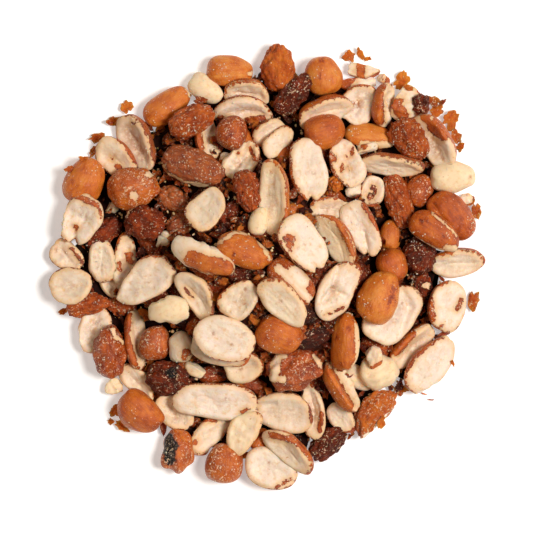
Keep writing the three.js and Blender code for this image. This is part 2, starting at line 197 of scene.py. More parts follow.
BROKEN_CHUNKS = [
    [26, 51.6, 5, 9.8, 4, 0, 0, "cream"],
    [33, 52.8, -20, 4, 3, 0, 0, "cream"],
    [-42.8, -34, -80, 5, 4.6, 0, 0, "yellow"],
    [26.3, 54.8, -5, 10.6, 5, 0, 1, "cream"],
    [39.3, 45.6, 70, 10, 8, 0, 1, "cream"],
    [56.3, 19, 30, 4, 3, 0, 1, "cream"],
    [-11, 29.6, -60, 7, 4.5, 0, 1, "cream"],
    [-43.4, 16.4, 40, 4.6, 3, 0, 1, "yellow"],
    [-19.6, -29, -30, 6.5, 4, 0, 1, "tan"],
    [30.2, -25.6, 90, 6, 5, 0, 1, "tan"],
    [25, 21.4, 20, 5, 3.6, 0, 2, "cream"],
    [28.2, 33.2, 15, 6.2, 3.6, 0, 2, "cream"],
    [-27.6, 8.8, -20, 5, 2.6, 0, 2, "cream"],
    [-29, 6.8, 0, 3.6, 3.4, 0, 2, "cream"],
]

# Looks, as [roast of the skin from light to burnt, how yellow the bare nut is, how many pale flecks,
# partly painted glints, there are on the skin, how grey the nut is]
LOOKS = {
    "orange": [0.2, 0.6, 0.12, 0.0],
    "yellow": [0.08, 1.0, 0.05, 0.0],
    "brown": [0.36, 0.5, 0.2, 0.0],
    "tan": [0.3, 0.75, 0.2, 0.12],
    "pink": [0.38, 0.1, 0.75, 0.0],
    "cream": [0.32, 0.4, 0.3, 0.05],
    "grey": [0.42, 0.2, 0.3, 0.45],
    "red": [0.5, 0.4, 0.65, 0.0],
    "dull": [0.45, 0.4, 0.7, 0.4],
    "deep": [0.64, 0.4, 0.5, 0.0],
    "dark": [0.76, 0.4, 0.62, 0.0],
    # The black look is used only deep in the gaps, as painted shade
    "black": [0.95, 0.4, 0.4, 0.0],
}

# The larger flakes of skin, most of them at the rim, as [x, y, turn, length, width, look]
LARGE_FLAKES = [
    [-39.2, 44.9, 85, 4.2, 3.2, "brown"],
    [-43, 40.8, 0, 4.2, 2.8, "red"],
    [-47.4, 36.4, 15, 5, 2.6, "red"],
    [-48.6, 32.4, 70, 3.4, 2, "red"],
    [-51.2, 30.2, 0, 2.6, 1.6, "brown"],
    [-55, 27.2, 20, 3.2, 2, "red"],
    [-57, -12.6, 25, 3.4, 1.6, "red"],
    [-42.4, -40.4, 65, 4, 3, "brown"],
    [-40.4, -45, -25, 4.4, 2.8, "brown"],
    [-43.6, -43.6, 40, 2.4, 1.6, "red"],
    [23.2, 59.2, 10, 4.2, 3, "brown"],
    [26.4, 60, -55, 4.6, 1.6, "brown"],
    [28.6, 58.4, 30, 2.4, 1.2, "brown"],
    [38.2, 52.4, 65, 6, 3.8, "brown"],
    [40, 50.2, -10, 3, 1.6, "brown"],
    [47, 46.4, -20, 4.6, 3, "red"],
    [48, 43.8, 25, 5, 3, "brown"],
    [49.6, 46.2, 30, 2.8, 1.2, "dark"],
    [52, 41.4, 60, 5.8, 4.4, "brown"],
    [53.4, 36.6, -70, 5, 2.6, "red"],
    [54.6, 33.6, 60, 3, 2.2, "brown"],
    [59, 15.6, 80, 4.6, 3, "red"],
    [57.6, 18.2, 30, 3, 2, "brown"],
    [58.3, -9.8, 78, 6, 3.2, "red"],
    [37.8, -34.6, -20, 4.4, 2.8, "red"],
    [52.4, -27, 105, 2.4, 0.8, "brown"],
    [46.4, -37.5, 0, 1.7, 0.5, "red"],
    [44.4, -35.8, -20, 1.6, 0.5, "brown"],
    [32.3, -43.8, 70, 3.8, 2.2, "brown"],
    [-3.4, 40.6, -35, 4.4, 2.4, "brown"],
    [-18.4, 46.6, 10, 4, 2.4, "red"],
    [14, -15.4, 50, 4, 1.6, "red"],
    [13.4, -21.6, -30, 5, 2.4, "red"],
]

# What single nuts show, by the nut's place. Ways are seen from above, in degrees from +X.
# skin, bare, stain and char, which is burnt black: spots [x, y, radius] and strips
#     [x, y, x, y, radius]
# grooves: strips that are carved out, [x, y, x, y, width, depth]
# notches: dents in the outline, or lobes where the depth is below 0, [way, depth as a share of the
#     outline's distance, width in radians]
# broken: flat broken sides, [way, distance from the middle]
# bulge: which way the middle is bent, [way, how far]
# hollow and crease: how deep the cut face is dished, and its middle line is cut
# lumps and wrinkle: how high the uneven swellings and the ridges are
MARKS = {
    (-56, 3): {"broken": [[215, 4.6]], "skin": [[-54.5, 5, -51.5, 1, 0.5]], "stain": [[-59, 4.6, 0.6]]},
    (-35.6, 35.2): {
        "skin": [[-34.5, 41, -31.8, 36.5, 1.2], [-31.8, 36.5, -31, 31, 1.2], [-37.3, 40.1, 0.5]],
        "hollow": 1.3,
    },
    (53.8, 1.8): {"skin": [[47, 3.6, 52, 4.6, 1], [55, 6, 59.5, 5.6, 0.7]], "hollow": 0.3},
    (50.2, -10.8): {
        "skin": [[46.6, -5.5, 50.5, -4.2, 0.8], [46.2, -9.5, 46.8, -15, 0.9], [55, -9.2, 53.6, -12, 0.6],
                 [49.2, -16.6, 0.5]],
        "hollow": 0.3,
    },
    (40.6, -21.8): {"skin": [[36.5, -24, 41, -19, 1.2]], "bulge": [135, 0.5]},
    (-48.3, -17.3): {"broken": [[190, 4.4]], "notches": [[-60, 0.25, 0.4]]},
    (-35.9, -32.6): {"bulge": [40, 0.6]},
    (1.5, -56.8): {"skin": [[2.5, -62.3, 7, -59.6, 0.4]], "stain": [[0.7, -55, 0.4]], "hollow": 0.3},
    (-5.2, 49.4): {"bulge": [70, 1.4], "hollow": 0.6},
    (26, 45.8): {"stain": [[25.2, 45.4, 1.3]], "hollow": 1.0, "crease": 0.05},
    (32.3, 45.8): {"skin": [[31.5, 50, 32, 41, 1.3]], "bulge": [180, 0.6]},
    (29.2, 37.2): {"bare": [[27, 34.4, 36, 34.2, 0.9]], "bulge": [80, 1.0]},
    (47.8, 35.6): {
        "skin": [[44, 42, 47, 39.4, 0.9], [47, 39, 49.4, 37, 1.7], [47.5, 41, 53, 35, 0.5]],
        "stain": [[49.5, 30.3, 0.5]],
        "hollow": 1.1,
    },
    (-16.9, 35.7): {"skin": [[-19.3, 37.5, -18.3, 33, 1.1]], "bulge": [195, 0.9]},
    (17.8, 16.6): {"broken": [[75, 2.7]], "notches": [[0, 0.2, 0.4]]},
    (7.6, -4): {
        "bare": [[3.5, -0.5, 12, -9, 1.2], [8, -2, 10, -4, 2.2]],
        "skin": [[4, -3, 6, -4.2, 0.4], [9, -4, 10.5, -7, 0.7], [3.5, -1.2, 4.5, -2.2, 0.4]],
    },
    (-41.6, 31): {
        "skin": [[-41.5, 35.6, -39, 33.8, 0.4], [-39, 33.8, -36.3, 29.5, 0.9], [-41.4, 27.9, 1],
                 [-43.3, 30.2, 0.5]],
        "hollow": 0.3,
    },
    (-51.6, 13.2): {
        "skin": [[-52.5, 19.5, -47.2, 17.3, 0.8], [-47, 17, -46, 13.8, 0.4], [-53.2, 11, 0.8]],
        "grooves": [[-53.9, 5.5, -54.2, 10.5, 1.1, 1.6], [-55, 15, -51, 13, 1.8, 0.9]],
        "notches": [[-108, 0.24, 0.16], [-38, 0.14, 0.35], [60, 0.06, 0.2]],
        "broken": [[168, 5.0]],
    },
    (-54.5, -5.6): {"hollow": 0.5, "crease": 0.05, "skin": [[-50.6, -9, -52.5, -10.4, 0.3]]},
    (-45.8, 1.6): {"stain": [[-48.2, 2.6, 0.35], [-47.2, -0.4, 0.4]], "hollow": 0.3},
    (-19, -8): {
        "bulge": [30, 1.6],
        "skin": [[-22.6, -6.2, -20.6, -8.6, 0.35]],
        "stain": [[-17, -8.5, 0.3], [-16.4, -10, 0.25], [-17.6, -6, 0.25]],
        "hollow": 0.5,
    },
    (-37, -20.4): {"skin": [[-38.6, -14, -39.2, -20, 1], [-39.2, -20, -37, -27, 1.1]], "bulge": [180, 1.2]},
    (45.6, -27.2): {
        "skin": [[39.8, -29, 42, -24.7, 0.6], [42, -24.7, 46.5, -20.9, 0.9], [46.5, -20.7, 50, -20, 0.3]],
        "broken": [[-62, 6]],
        "hollow": 0.25,
        "crease": 0.05,
    },
    (-6, -27.8): {"hollow": 0.3, "stain": [[-7, -28.6, 0.6]]},
    (20.2, -33.8): {"skin": [[18, -29.5, 23.5, -39, 1.2]]},
    (13.2, -40.6): {
        "stain": [[13.4, -35.6, 0.4]],
        "skin": [[15.6, -41, 15.2, -46, 0.6]],
        "bulge": [10, 1.0],
    },
    (21.5, -42.5): {"hollow": 0.15, "crease": 0.02},
    (-25.6, -41): {"hollow": 0.9, "skin": [[-27.5, -45.4, -23, -46, 0.3]], "stain": [[-26, -43.8, 0.3]]},
    (-16, -47): {
        "skin": [[-17.5, -43, -14, -43.2, 0.5], [-19.8, -49.4, 0.8]],
        "broken": [[-45, 3.2]],
        "hollow": 0.2,
    },
    (-6.3, 44): {
        "skin": [[-4.5, 41, -1.2, 41.4, 1.2], [-13, 42, -10, 41, 0.7]],
        "bulge": [88, 2.2],
    },
    (16.2, 44.3): {"bulge": [110, 1.4], "grooves": [[12, 42.6, 21.5, 44.6, 1.3, 0.5]], "hollow": 0.2},
    (35.6, 29.2): {"skin": [[31, 31.9, 43, 29.6, 0.4]], "bulge": [-95, 0.7], "hollow": 0.2},
    (47.6, 10.2): {
        "bare": [[50.5, 5.2, 54.2, 4.8, 0.9], [46.5, 15.2, 53.6, 8.6, 0.3]],
        "stain": [[44, 13.2, 1.2], [49.8, 8, 0.6]],
    },
    (27, 10.7): {
        "skin": [[27.3, 17.2, 31.6, 10.5, 0.7]],
        "grooves": [[27.4, 9.5, 28.2, 4.4, 0.55, 1.0], [26, 15, 27, 10, 1.3, 0.3]],
        "notches": [[-79, 0.16, 0.1]],
        "hollow": 0.2,
        "crease": 0.02,
    },
    (2.8, 19.3): {
        "skin": [[5.6, 27, 6.9, 20, 0.7], [6.9, 20, 5.2, 12, 0.7]],
        "stain": [[1.3, 26.2, 0.7]],
        "bulge": [0, 1.0],
        "hollow": 0.5,
        "crease": 0.02,
    },
    (3.2, 34.9): {"hollow": 0.2, "crease": 0.02},
    (-6.6, 29.6): {"skin": [[-4.6, 33.6, -2.8, 29.5, 0.45], [-7.6, 31.8, 0.5]], "lumps": 0.36},
    (20.2, 7.6): {
        "skin": [[16.5, 14.6, 20, 12.6, 0.7], [20, 12.6, 24.4, 3.5, 0.8]],
        "bulge": [30, 1.4],
        "hollow": 0.25,
    },
    (22.2, 28.6): {
        "skin": [[18.2, 30.6, 1.3], [19.3, 30.1, 0.8], [24.3, 33, 24, 31.4, 0.5], [22.6, 30.8, 0.4],
                 [21.6, 28.4, 20.9, 26.6, 0.55], [23.2, 27.5, 0.4]],
        "lumps": 0.22,
        "grooves": [[23.5, 31.5, 20.5, 25.5, 0.9, 0.5]],
    },
    (29.6, 20.9): {
        "skin": [[30.2, 22, 0.9], [29.3, 19.6, 1.0], [30.6, 20.7, 0.6]],
        "grooves": [[27.8, 20.5, 28.6, 17.6, 0.5, 1.0]],
        "hollow": 0.8,
    },
    (-5.8, 4.8): {
        "bare": [[-13, 6.6, -9, 9.4, 0.5], [-9, 9.4, -3.5, 9, 0.5], [-2.2, 7.6, 1.2, 2, 0.5]],
        "stain": [[-9, 3.5, 0.8]],
    },
    (-39.8, 2): {
        "skin": [[-38.6, 3.4, -38, 1.4, 1.0], [-41.2, 0.8, -41.2, -0.8, 0.7]],
        "lumps": 0.3,
    },
    (-7.3, -8.9): {"stain": [[-5.8, -6.3, 0.5], [-6, -10.5, 0.4]], "hollow": 0.6, "crease": 0.02},
    (35, -13.2): {
        "grooves": [[38.2, -6.4, 40.6, -11.5, 0.8, 1.2], [40.6, -11.5, 38.2, -18, 0.8, 1.2]],
        "stain": [[38.4, -10.1, 0.5]],
        "hollow": 0.5,
    },
    (4.9, -40.4): {
        "grooves": [[-2.5, -39, 2.4, -38.6, 0.8, 0.8]],
        "notches": [[172, 0.1, 0.15]],
        "skin": [[12.3, -39, 12.8, -44, 0.4]],
        "hollow": 0.5,
        "crease": 0.03,
    },
    (-6.1, -46.6): {"bulge": [150, 1.4], "hollow": 0.15, "crease": 0.02},
    (7, -51.3): {
        "skin": [[1.5, -47.2, 8, -48.8, 0.9], [8, -48.8, 13, -54, 0.7]],
        "bulge": [50, 1.0],
        "hollow": 0.4,
    },
    (11.6, 26.4): {
        "notches": [[-88, 0.1, 0.1], [150, 0.1, 0.35], [45, 0.13, 0.4]],
        "grooves": [[11.7, 17, 11.5, 20.5, 0.5, 0.6]],
        "stain": [[13.3, 26, 0.4]],
        "hollow": 0.25,
        "crease": 0.03,
    },
    (-16.2, 15.4): {
        "broken": [[-50, 4.8]],
        "notches": [[80, -0.16, 0.3], [135, 0.04, 0.4], [20, 0.05, 0.3]],
        "hollow": 0.2,
        "crease": 0.02,
    },
    (9.9, 6): {
        "skin": [[5.9, 7.8, 1.2], [7.3, 7.8, 1.0], [6.7, 6, 1.2], [6.7, 4.4, 0.6]],
        "stain": [[5.6, 7.3, 0.9], [8.9, 5, 0.35], [7.7, 1.9, 0.35], [10.8, 6.2, 0.3]],
        "notches": [[-62, 0.16, 0.11]],
        "grooves": [[13.9, -1, 12.6, 1.4, 0.6, 0.6]],
        "hollow": 0.2,
        "crease": 0.03,
    },
    (19.5, -6.2): {
        "grooves": [[20.6, 0.8, 19, -6.6, 0.8, 1.8], [19, -6.6, 16.2, -9.6, 0.9, 1.7],
                    [19, -7, 22.6, -8.6, 0.8, 1.5]],
        "skin": [[16.5, -13.6, 21.5, -11.6, 0.3]],
        "hollow": 0.4,
        "crease": 0.02,
    },
    (5, -9.4): {"stain": [[4.2, -9.7, 0.45], [2.7, -10.6, 0.25]], "hollow": 0.05, "crease": 0.02},
    (-33, -3.8): {
        "stain": [[-32.9, -4.9, 0.45], [-36.2, -7, 0.45], [-31.6, -5.8, 0.35], [-27.8, -3, 0.4]],
        "notches": [[150, 0.16, 0.5], [205, -0.1, 0.2], [-80, 0.06, 0.4]],
        "hollow": 0.3,
        "crease": 0.03,
    },
    (-11.2, -20.4): {
        "stain": [[-14.8, -18.6, 0.6], [-6, -18.4, 0.6], [-9.5, -21.8, 0.5]],
        "hollow": 0.3,
        "crease": 0.02,
    },
    (21.2, -21): {
        "bare": [[25.2, -13.5, 25.6, -27, 0.6], [22.5, -12.4, 25, -13, 0.5]],
        "stain": [[23.2, -17.4, 0.7], [19.6, -20, 0.7], [21.5, -27, 0.8]],
    },
    (-14.2, -37.3): {
        "stain": [[-11.4, -37.3, 0.6]],
        "notches": [[88, 0.07, 0.35], [150, -0.04, 0.2], [-158, -0.08, 0.25], [30, 0.06, 0.2],
                    [-2, -0.05, 0.12], [180, 0.03, 0.1]],
        "skin": [[-7, -41, -5, -40, 0.5]],
        "hollow": 0.3,
        "crease": 0.02,
    },
    (-10.2, 54.9): {"bare": [[-4.3, 54.2, 0.7]]},
    (-27.8, 45.1): {"bare": [[-22.4, 50, -21.4, 47.8, 0.4]]},
    (-51, 23.9): {"stain": [[-54, 23.8, 0.7]]},
    (-24.7, -51.5): {"char": [[-27.4, -48.5, -27, -54, 1.7], [-25.8, -50.5, 1.4]], "lumps": 0.3},
    (16, 53.6): {"stain": [[15.6, 58, 0.9], [15.4, 55, 15.2, 51, 0.5]]},
    (52.2, 14.2): {"grooves": [[46.6, 17.5, 52.5, 8.6, 0.8, 0.7]]},
    (-37.2, 22): {"bare": [[-33, 25.8, -31.8, 26.2, 0.9], [-36.9, 19.8, 1.2]], "lumps": 0.1},
    (-44, -24): {"bare": [[-43, -17.5, -42.2, -19.6, 0.6], [-42.2, -19.6, -40, -21.3, 0.5]], "lumps": 0.25},
    (-35.2, -40.8): {"bulge": [-140, 1.4]},
    (8.2, -28.8): {
        "bare": [[3, -26, 2.2, -31, 1.4], [4.6, -31.6, 1.2], [13.5, -25, 15.3, -27.8, 0.7], [5, -25, 1]],
        "lumps": 0.3,
    },
    (31.8, -29.5): {
        "lumps": 0.1,
        "grooves": [[28.6, -30.6, 33.6, -27.8, 0.6, 0.5], [30, -33, 35, -31, 0.5, 0.4]],
    },
    (31.7, -8.6): {"stain": [[36, -5, 35, -10, 1.1], [34, -11, 0.9]], "bulge": [150, 0.6]},
    (-20.8, 40.8): {"lumps": -0.14},
    (-20.3, 28): {
        "bare": [[-29.2, 28.4, -28.4, 26, 0.8], [-28.4, 26, -23, 23.4, 0.75], [-23, 23.4, -17, 22.6, 0.6]],
        "lumps": -0.15,
        "wrinkle": 0.32,
    },
    (30.7, -41.1): {"bulge": [140, 1.5], "broken": [[-48, 2.7]]},
    (-27, -12.2): {"broken": [[8, 5.2], [-95, 3.3], [115, 3.5]]},
    (43.7, -5.3): {"bare": [[45, -5.3, 1.1]]},
    (-33.8, 12.2): {"bare": [[-39.3, 14, -37.4, 16.4, 0.3]]},
    (-27.4, -31.4): {"char": [[-26.5, -29.8, 1.4]]},
    (52.4, 25.1): {"stain": [[57.4, 25, 0.6]]},
    (-23.8, -22.4): {"skin": [[-22.3, -24, 1.2], [-22.8, -25.4, 0.9]]},
    (-17.5, 2.8): {"skin": [[-20.4, 1.6, -11.6, -0.5, 2.5], [-20.6, 3.2, 1.4]], "broken": [[70, 3.4]]},
    (26.3, 54.8): {"skin": [[26.6, 56.8, 26.6, 53.2, 1.2]]},
    (39.3, 45.6): {"skin": [[36.2, 45.5, 38.5, 42.4, 1.6], [37.9, 46.7, 0.8]]},
    (28.2, 33.2): {"skin": [[27.4, 33.6, 0.9]]},
}

# The seed of every random draw
SEED = 7


class Piece:
    """One nut or scrap: its place seen from above, its size, its turns and its looks."""

    def __init__(self, row, depth, split, form):
        self.x, self.y, self.turn, self.length, self.width, self.roll, self.level, look = row
        self.look = LOOKS[look]
        self.marks = MARKS.get((self.x, self.y), {})
        self.depth = depth * self.width
        self.split = split
        self.form = form
        about_z = Quaternion((0, 0, 1), math.radians(self.turn))
        about_x = Quaternion((1, 0, 0), math.radians(self.roll))
        self.turned = np.array((about_z @ about_x).to_matrix())
        self.z = 0.0

    def sizes(self, play=0.0):
        """How far it reaches along its own axes, made smaller by some play."""
        deep = self.depth if self.split else self.depth / 2
        return np.array([self.length / 2, self.width / 2, deep]) - play

    def lean(self, upright):
        """Tilts the piece, so that what pointed straight up points in the given direction."""
        tilt = Vector((0, 0, 1)).rotation_difference(Vector(upright))
        self.turned = np.array(tilt.to_matrix()) @ self.turned


def core_height(x, y, sink=0.0):
    """Height of the smooth core at a place, lowered for what lies half sunk in it."""
    outward = np.minimum(np.hypot(x, y) / CORE_RADIUS, 1)
    return np.maximum(CORE_HEIGHT / 2 * (1 + np.cos(np.pi * outward)) - sink, 0)


def columns_through(piece, u, v, play=0.0):
    """Where upright lines at (u, v) from the piece's origin go in and come out, nan where none."""
    sizes = piece.sizes(play)
    lift = piece.depth / 2 if piece.split else 0.0
    face = piece.turned[:, 2]
    du, dv = u - lift * face[0], v - lift * face[1]
    a, b, c = 0.0, 0.0, -1.0
    for axis, size in zip(piece.turned.T, sizes):
        along = (du * axis[0] + dv * axis[1]) / size
        rise = axis[2] / size
        a = a + rise * rise
        b = b + rise * along
        c = c + along * along
    root = np.sqrt(np.where(b * b > a * c, b * b - a * c, np.nan))
    low, high = (-b - root) / a, (-b + root) / a
    if piece.split:
        cut = -(du * face[0] + dv * face[1]) / face[2]
        if face[2] > 0:
            high = np.minimum(high, cut)
        else:
            low = np.maximum(low, cut)
    missing = ~(low < high)
    low[missing] = np.nan
    high[missing] = np.nan
    return low + lift * face[2], high + lift * face[2]


class HeightMap:
    """The top of what lies in the heap so far, cell by cell."""

    def __init__(self):
        self.ticks = np.arange(-REACH, REACH + CELL, CELL, dtype=float)
        self.top = np.zeros((len(self.ticks), len(self.ticks)))

    def window(self, piece):
        """The cells that a piece may reach, and their places."""
        reach = math.hypot(piece.length, piece.width) / 2 + piece.depth / 2
        spans = []
        for middle in (piece.y, piece.x):
            first = max(math.ceil((middle - reach + REACH) / CELL), 0)
            last = min(math.floor((middle + reach + REACH) / CELL), len(self.ticks) - 1)
            spans.append(slice(first, last + 1))
        y, x = np.meshgrid(self.ticks[spans[0]], self.ticks[spans[1]], indexing="ij")
        return tuple(spans), x, y

    def settled_up(self, piece, sink):
        """The way up on the slope of what a flat piece lies on, which it leans with."""
        window, x, y = self.window(piece)
        turn = math.radians(piece.turn)
        dx, dy = x - piece.x, y - piece.y
        along = dx * math.cos(turn) + dy * math.sin(turn)
        across = dy * math.cos(turn) - dx * math.sin(turn)
        under = np.hypot(along / piece.length, across / piece.width) < 0.5
        height = np.maximum(self.top[window], core_height(x, y, sink))[under]
        along, across = along[under], across[under]
        height = height - height.mean()
        slope = SETTLING * np.array([(along * height).sum() / (along**2).sum(),
                                     (across * height).sum() / (across**2).sum()])
        slope *= min(1, STEEPEST_SETTLING / max(np.hypot(*slope), 1e-6))
        return (-(slope[0] * math.cos(turn) - slope[1] * math.sin(turn)),
                -(slope[0] * math.sin(turn) + slope[1] * math.cos(turn)), 1)

    def lay(self, piece):
        """Lays a piece down on what is there, and adds its top to the map."""
        sink = LEVEL_SINK[piece.level]
        if abs(math.sin(math.radians(piece.roll))) < math.sin(math.radians(FLAT_ROLL)):
            piece.lean(self.settled_up(piece, sink))
        window, x, y = self.window(piece)
        lying = np.maximum(self.top[window], core_height(x, y, sink))
        tight, _ = columns_through(piece, x - piece.x, y - piece.y, EDGE_PLAY)
        low, high = columns_through(piece, x - piece.x, y - piece.y)
        resting = max(np.nanmax(lying - tight), 0)
        piece.z = max(resting - GIVE, -np.nanmin(low))
        self.top[window] = np.fmax(self.top[window], piece.z + high)

    def cell(self, x, y):
        """The row and the column of a place."""
        return np.rint((np.array([y, x]) + REACH) / CELL).astype(int)

    def at(self, x, y):
        """The top at a place."""
        return self.top[tuple(self.cell(x, y))]

    def around(self, x, y, cells):
        """The tops up to some cells away from a place."""
        row, column = self.cell(x, y)
        return self.top[row - cells:row + cells + 1, column - cells:column + cells + 1]

    def outline_at(self, angle):
        """How far out the heap reaches in a direction."""
        steps = np.arange(0, REACH, CELL / 2)
        rows, columns = self.cell(steps * math.cos(angle), steps * math.sin(angle))
        return steps[self.top[rows, columns] > 0].max()


# Forms. Each takes the points of a round template, all at distance 1 from its middle, and gives
# the piece's points in its own axes, how deep each lies within the skin in millimetres, and how
# stained it is; a half's stain also holds the painted shade of its hollow.

# How deep a place lies within the skin where there is skin all round, none at all or a fresh break,
# and how deep in a mark one lies that is far from every mark
ALL_SKIN = 5.0
NO_SKIN = -5.0
FRESH_BREAK = -2.0
FAR_OUTSIDE = -9.0

# The width over which a stain fades, how much stronger a burn is than a stain, how much of what is
# past a broken side is pressed flat, and the range that a wave's start is drawn from
MARK_EDGE = 0.7
CHAR = 3.2
PRESSED_FLAT = 0.92
ANY_PHASE = 6.3


def template(operator, **sizes):
    """Points and triangles of what a bmesh operator makes."""
    made = bmesh.new()
    operator(made, **sizes)
    bmesh.ops.triangulate(made, faces=made.faces[:])
    points = np.array([vertex.co[:] for vertex in made.verts])
    triangles = np.array([[vertex.index for vertex in face.verts] for face in made.faces])
    made.free()
    return points, triangles


def ball(segments, rings):
    """A ball of radius 1, with its poles on the Z axis."""
    return template(bmesh.ops.create_uvsphere, u_segments=segments, v_segments=rings, radius=1)


def cube():
    """A cube whose corners are at distance 1."""
    return template(bmesh.ops.create_cube, size=2 / math.sqrt(3))


def waves(points, draw, height, length, count=5):
    """Uneven swellings: a few waves of about this height and length, in random directions."""
    ways = draw.normal(size=(count, 3))
    ways /= np.linalg.norm(ways, axis=1)[:, None]
    lengths = length * draw.uniform(0.7, 1.5, count)
    phases = draw.uniform(0, 2 * math.pi, count)
    return height / math.sqrt(count) * np.cos(points @ ways.T * (2 * math.pi / lengths) + phases).sum(1)


def hump(away, width):
    """1 in the middle of a hump, falling to nothing well past its width."""
    return np.exp(-((away / width) ** 2))


def flat_points(x, y):
    """Points without any height."""
    return np.stack([x, y, 0 * x], 1)


def over_heap(piece, points):
    """Where points in the piece's own axes are seen from above."""
    return points @ piece.turned[:2].T + np.array([piece.x, piece.y])


def own_way(piece, way):
    """A way seen from above, as a direction in the piece's own axes."""
    angle = math.radians(way)
    return np.array([math.cos(angle), math.sin(angle), 0]) @ piece.turned


def depth_in(spots, places):
    """How far inside the nearest of the spots and strips each place is, negative outside."""
    deepest = np.full(len(places), FAR_OUTSIDE)
    for *ends, radius in spots:
        start, end = np.array(ends[:2]), np.array(ends[-2:])
        along = end - start
        share = ((places - start) @ along / max(along @ along, 1e-9)).clip(0, 1)
        away = np.linalg.norm(places - start - share[:, None] * along, axis=1)
        deepest = np.maximum(deepest, radius - away)
    return deepest


def marked(piece, points, facing, peel):
    """The piece's spots of skin, bare spots, stains and burns, on what faces up."""
    places = over_heap(piece, points)
    skin, bare, stain, char = [depth_in(piece.marks.get(kind, []), places)
                               for kind in ("skin", "bare", "stain", "char")]
    spotted = np.minimum(np.maximum(peel, skin), -bare)
    stained = (stain / MARK_EDGE + 0.5).clip(0, 1)
    stained += CHAR * (char / MARK_EDGE + 0.5).clip(0, 1)
    return points, np.where(facing, spotted, peel), np.where(facing, stained, 0)


def carved(piece, points, facing, inward):
    """Carves the piece's grooves."""
    places = over_heap(piece, points)
    for *ends, width, depth in piece.marks.get("grooves", []):
        away = -depth_in([[*ends, 0]], places)
        points = points + (facing * depth * hump(away, width))[:, None] * inward
    return points


def broken_off(piece, points, peel, draw):
    """Presses what is past the piece's broken sides nearly flat, and bares it."""
    for way, reach in piece.marks.get("broken", []):
        side = own_way(piece, way)
        past = points @ side - reach - waves(points, draw, height=0.35, length=2.6)
        points = points - np.maximum(past, 0)[:, None] * side * PRESSED_FLAT
        peel = np.where(past > 0, FRESH_BREAK, peel)
    return points, peel


def bent(piece, points, draw, most):
    """Bends the piece sideways, towards the side where it bulges."""
    way, amount = piece.marks.get("bulge", (None, draw.uniform(-most, most)))
    if way is not None:
        amount *= own_way(piece, way)[1]
    points[:, 1] += amount * (0.4 - (points[:, 0] / (piece.length / 2)) ** 2)
    return points


# The outline of a half: how square it is, its lobes as shares of its size by their number, the
# width of the notch at its pointed end, and how many small chips it has
SQUARENESS = 2.3
LOBES = {2: 0.025, 3: 0.034, 4: 0.024, 5: 0.015, 7: 0.01}
END_NOTCH = 0.15
CHIPS = 3


def outline(around, piece, draw):
    """How far the outline of a half reaches in each direction, as a share of its size."""
    squared = np.abs(np.cos(around)) ** SQUARENESS + np.abs(np.sin(around)) ** SQUARENESS
    reach = squared ** (-1 / SQUARENESS)
    for lobes, size in LOBES.items():
        lobe = size * np.cos(lobes * around + draw.uniform(0, ANY_PHASE))
        reach = reach + lobe * draw.uniform(0.3, 1.2)
    reach = reach - max(0.0, draw.uniform(-0.14, 0.1)) * hump(around, END_NOTCH)
    dents = [[draw.uniform(-math.pi, math.pi), draw.uniform(0.01, 0.06), draw.uniform(0.07, 0.25)]
             for _ in range(CHIPS)]
    for way, depth, width in piece.marks.get("notches", []):
        side = own_way(piece, way) / piece.sizes()
        dents.append([math.atan2(side[1], side[0]), depth, width])
    for middle, depth, width in dents:
        off = (around - middle + math.pi) % (2 * math.pi) - math.pi
        reach = reach - depth * hump(off, width)
    return reach


# The cut face of a half: its hollow and its crease along the middle, its lip near the outline and
# its faint stripes. Widths and the lip's place are shares of the way out.
HOLLOW_GAIN = 1.3
# How strongly the hollow's depth is painted into the stain as tan shade
HOLLOW_PAINTED_SHADE = 0.7
HOLLOW_WIDTH = 0.45
CREASE_WIDTH = 0.08
LIP_PLACE = 0.76
LIP_WIDTH = 0.15
LIP_HEIGHT = 0.2
STRIPE_HEIGHT = 0.035
STRIPES = 4


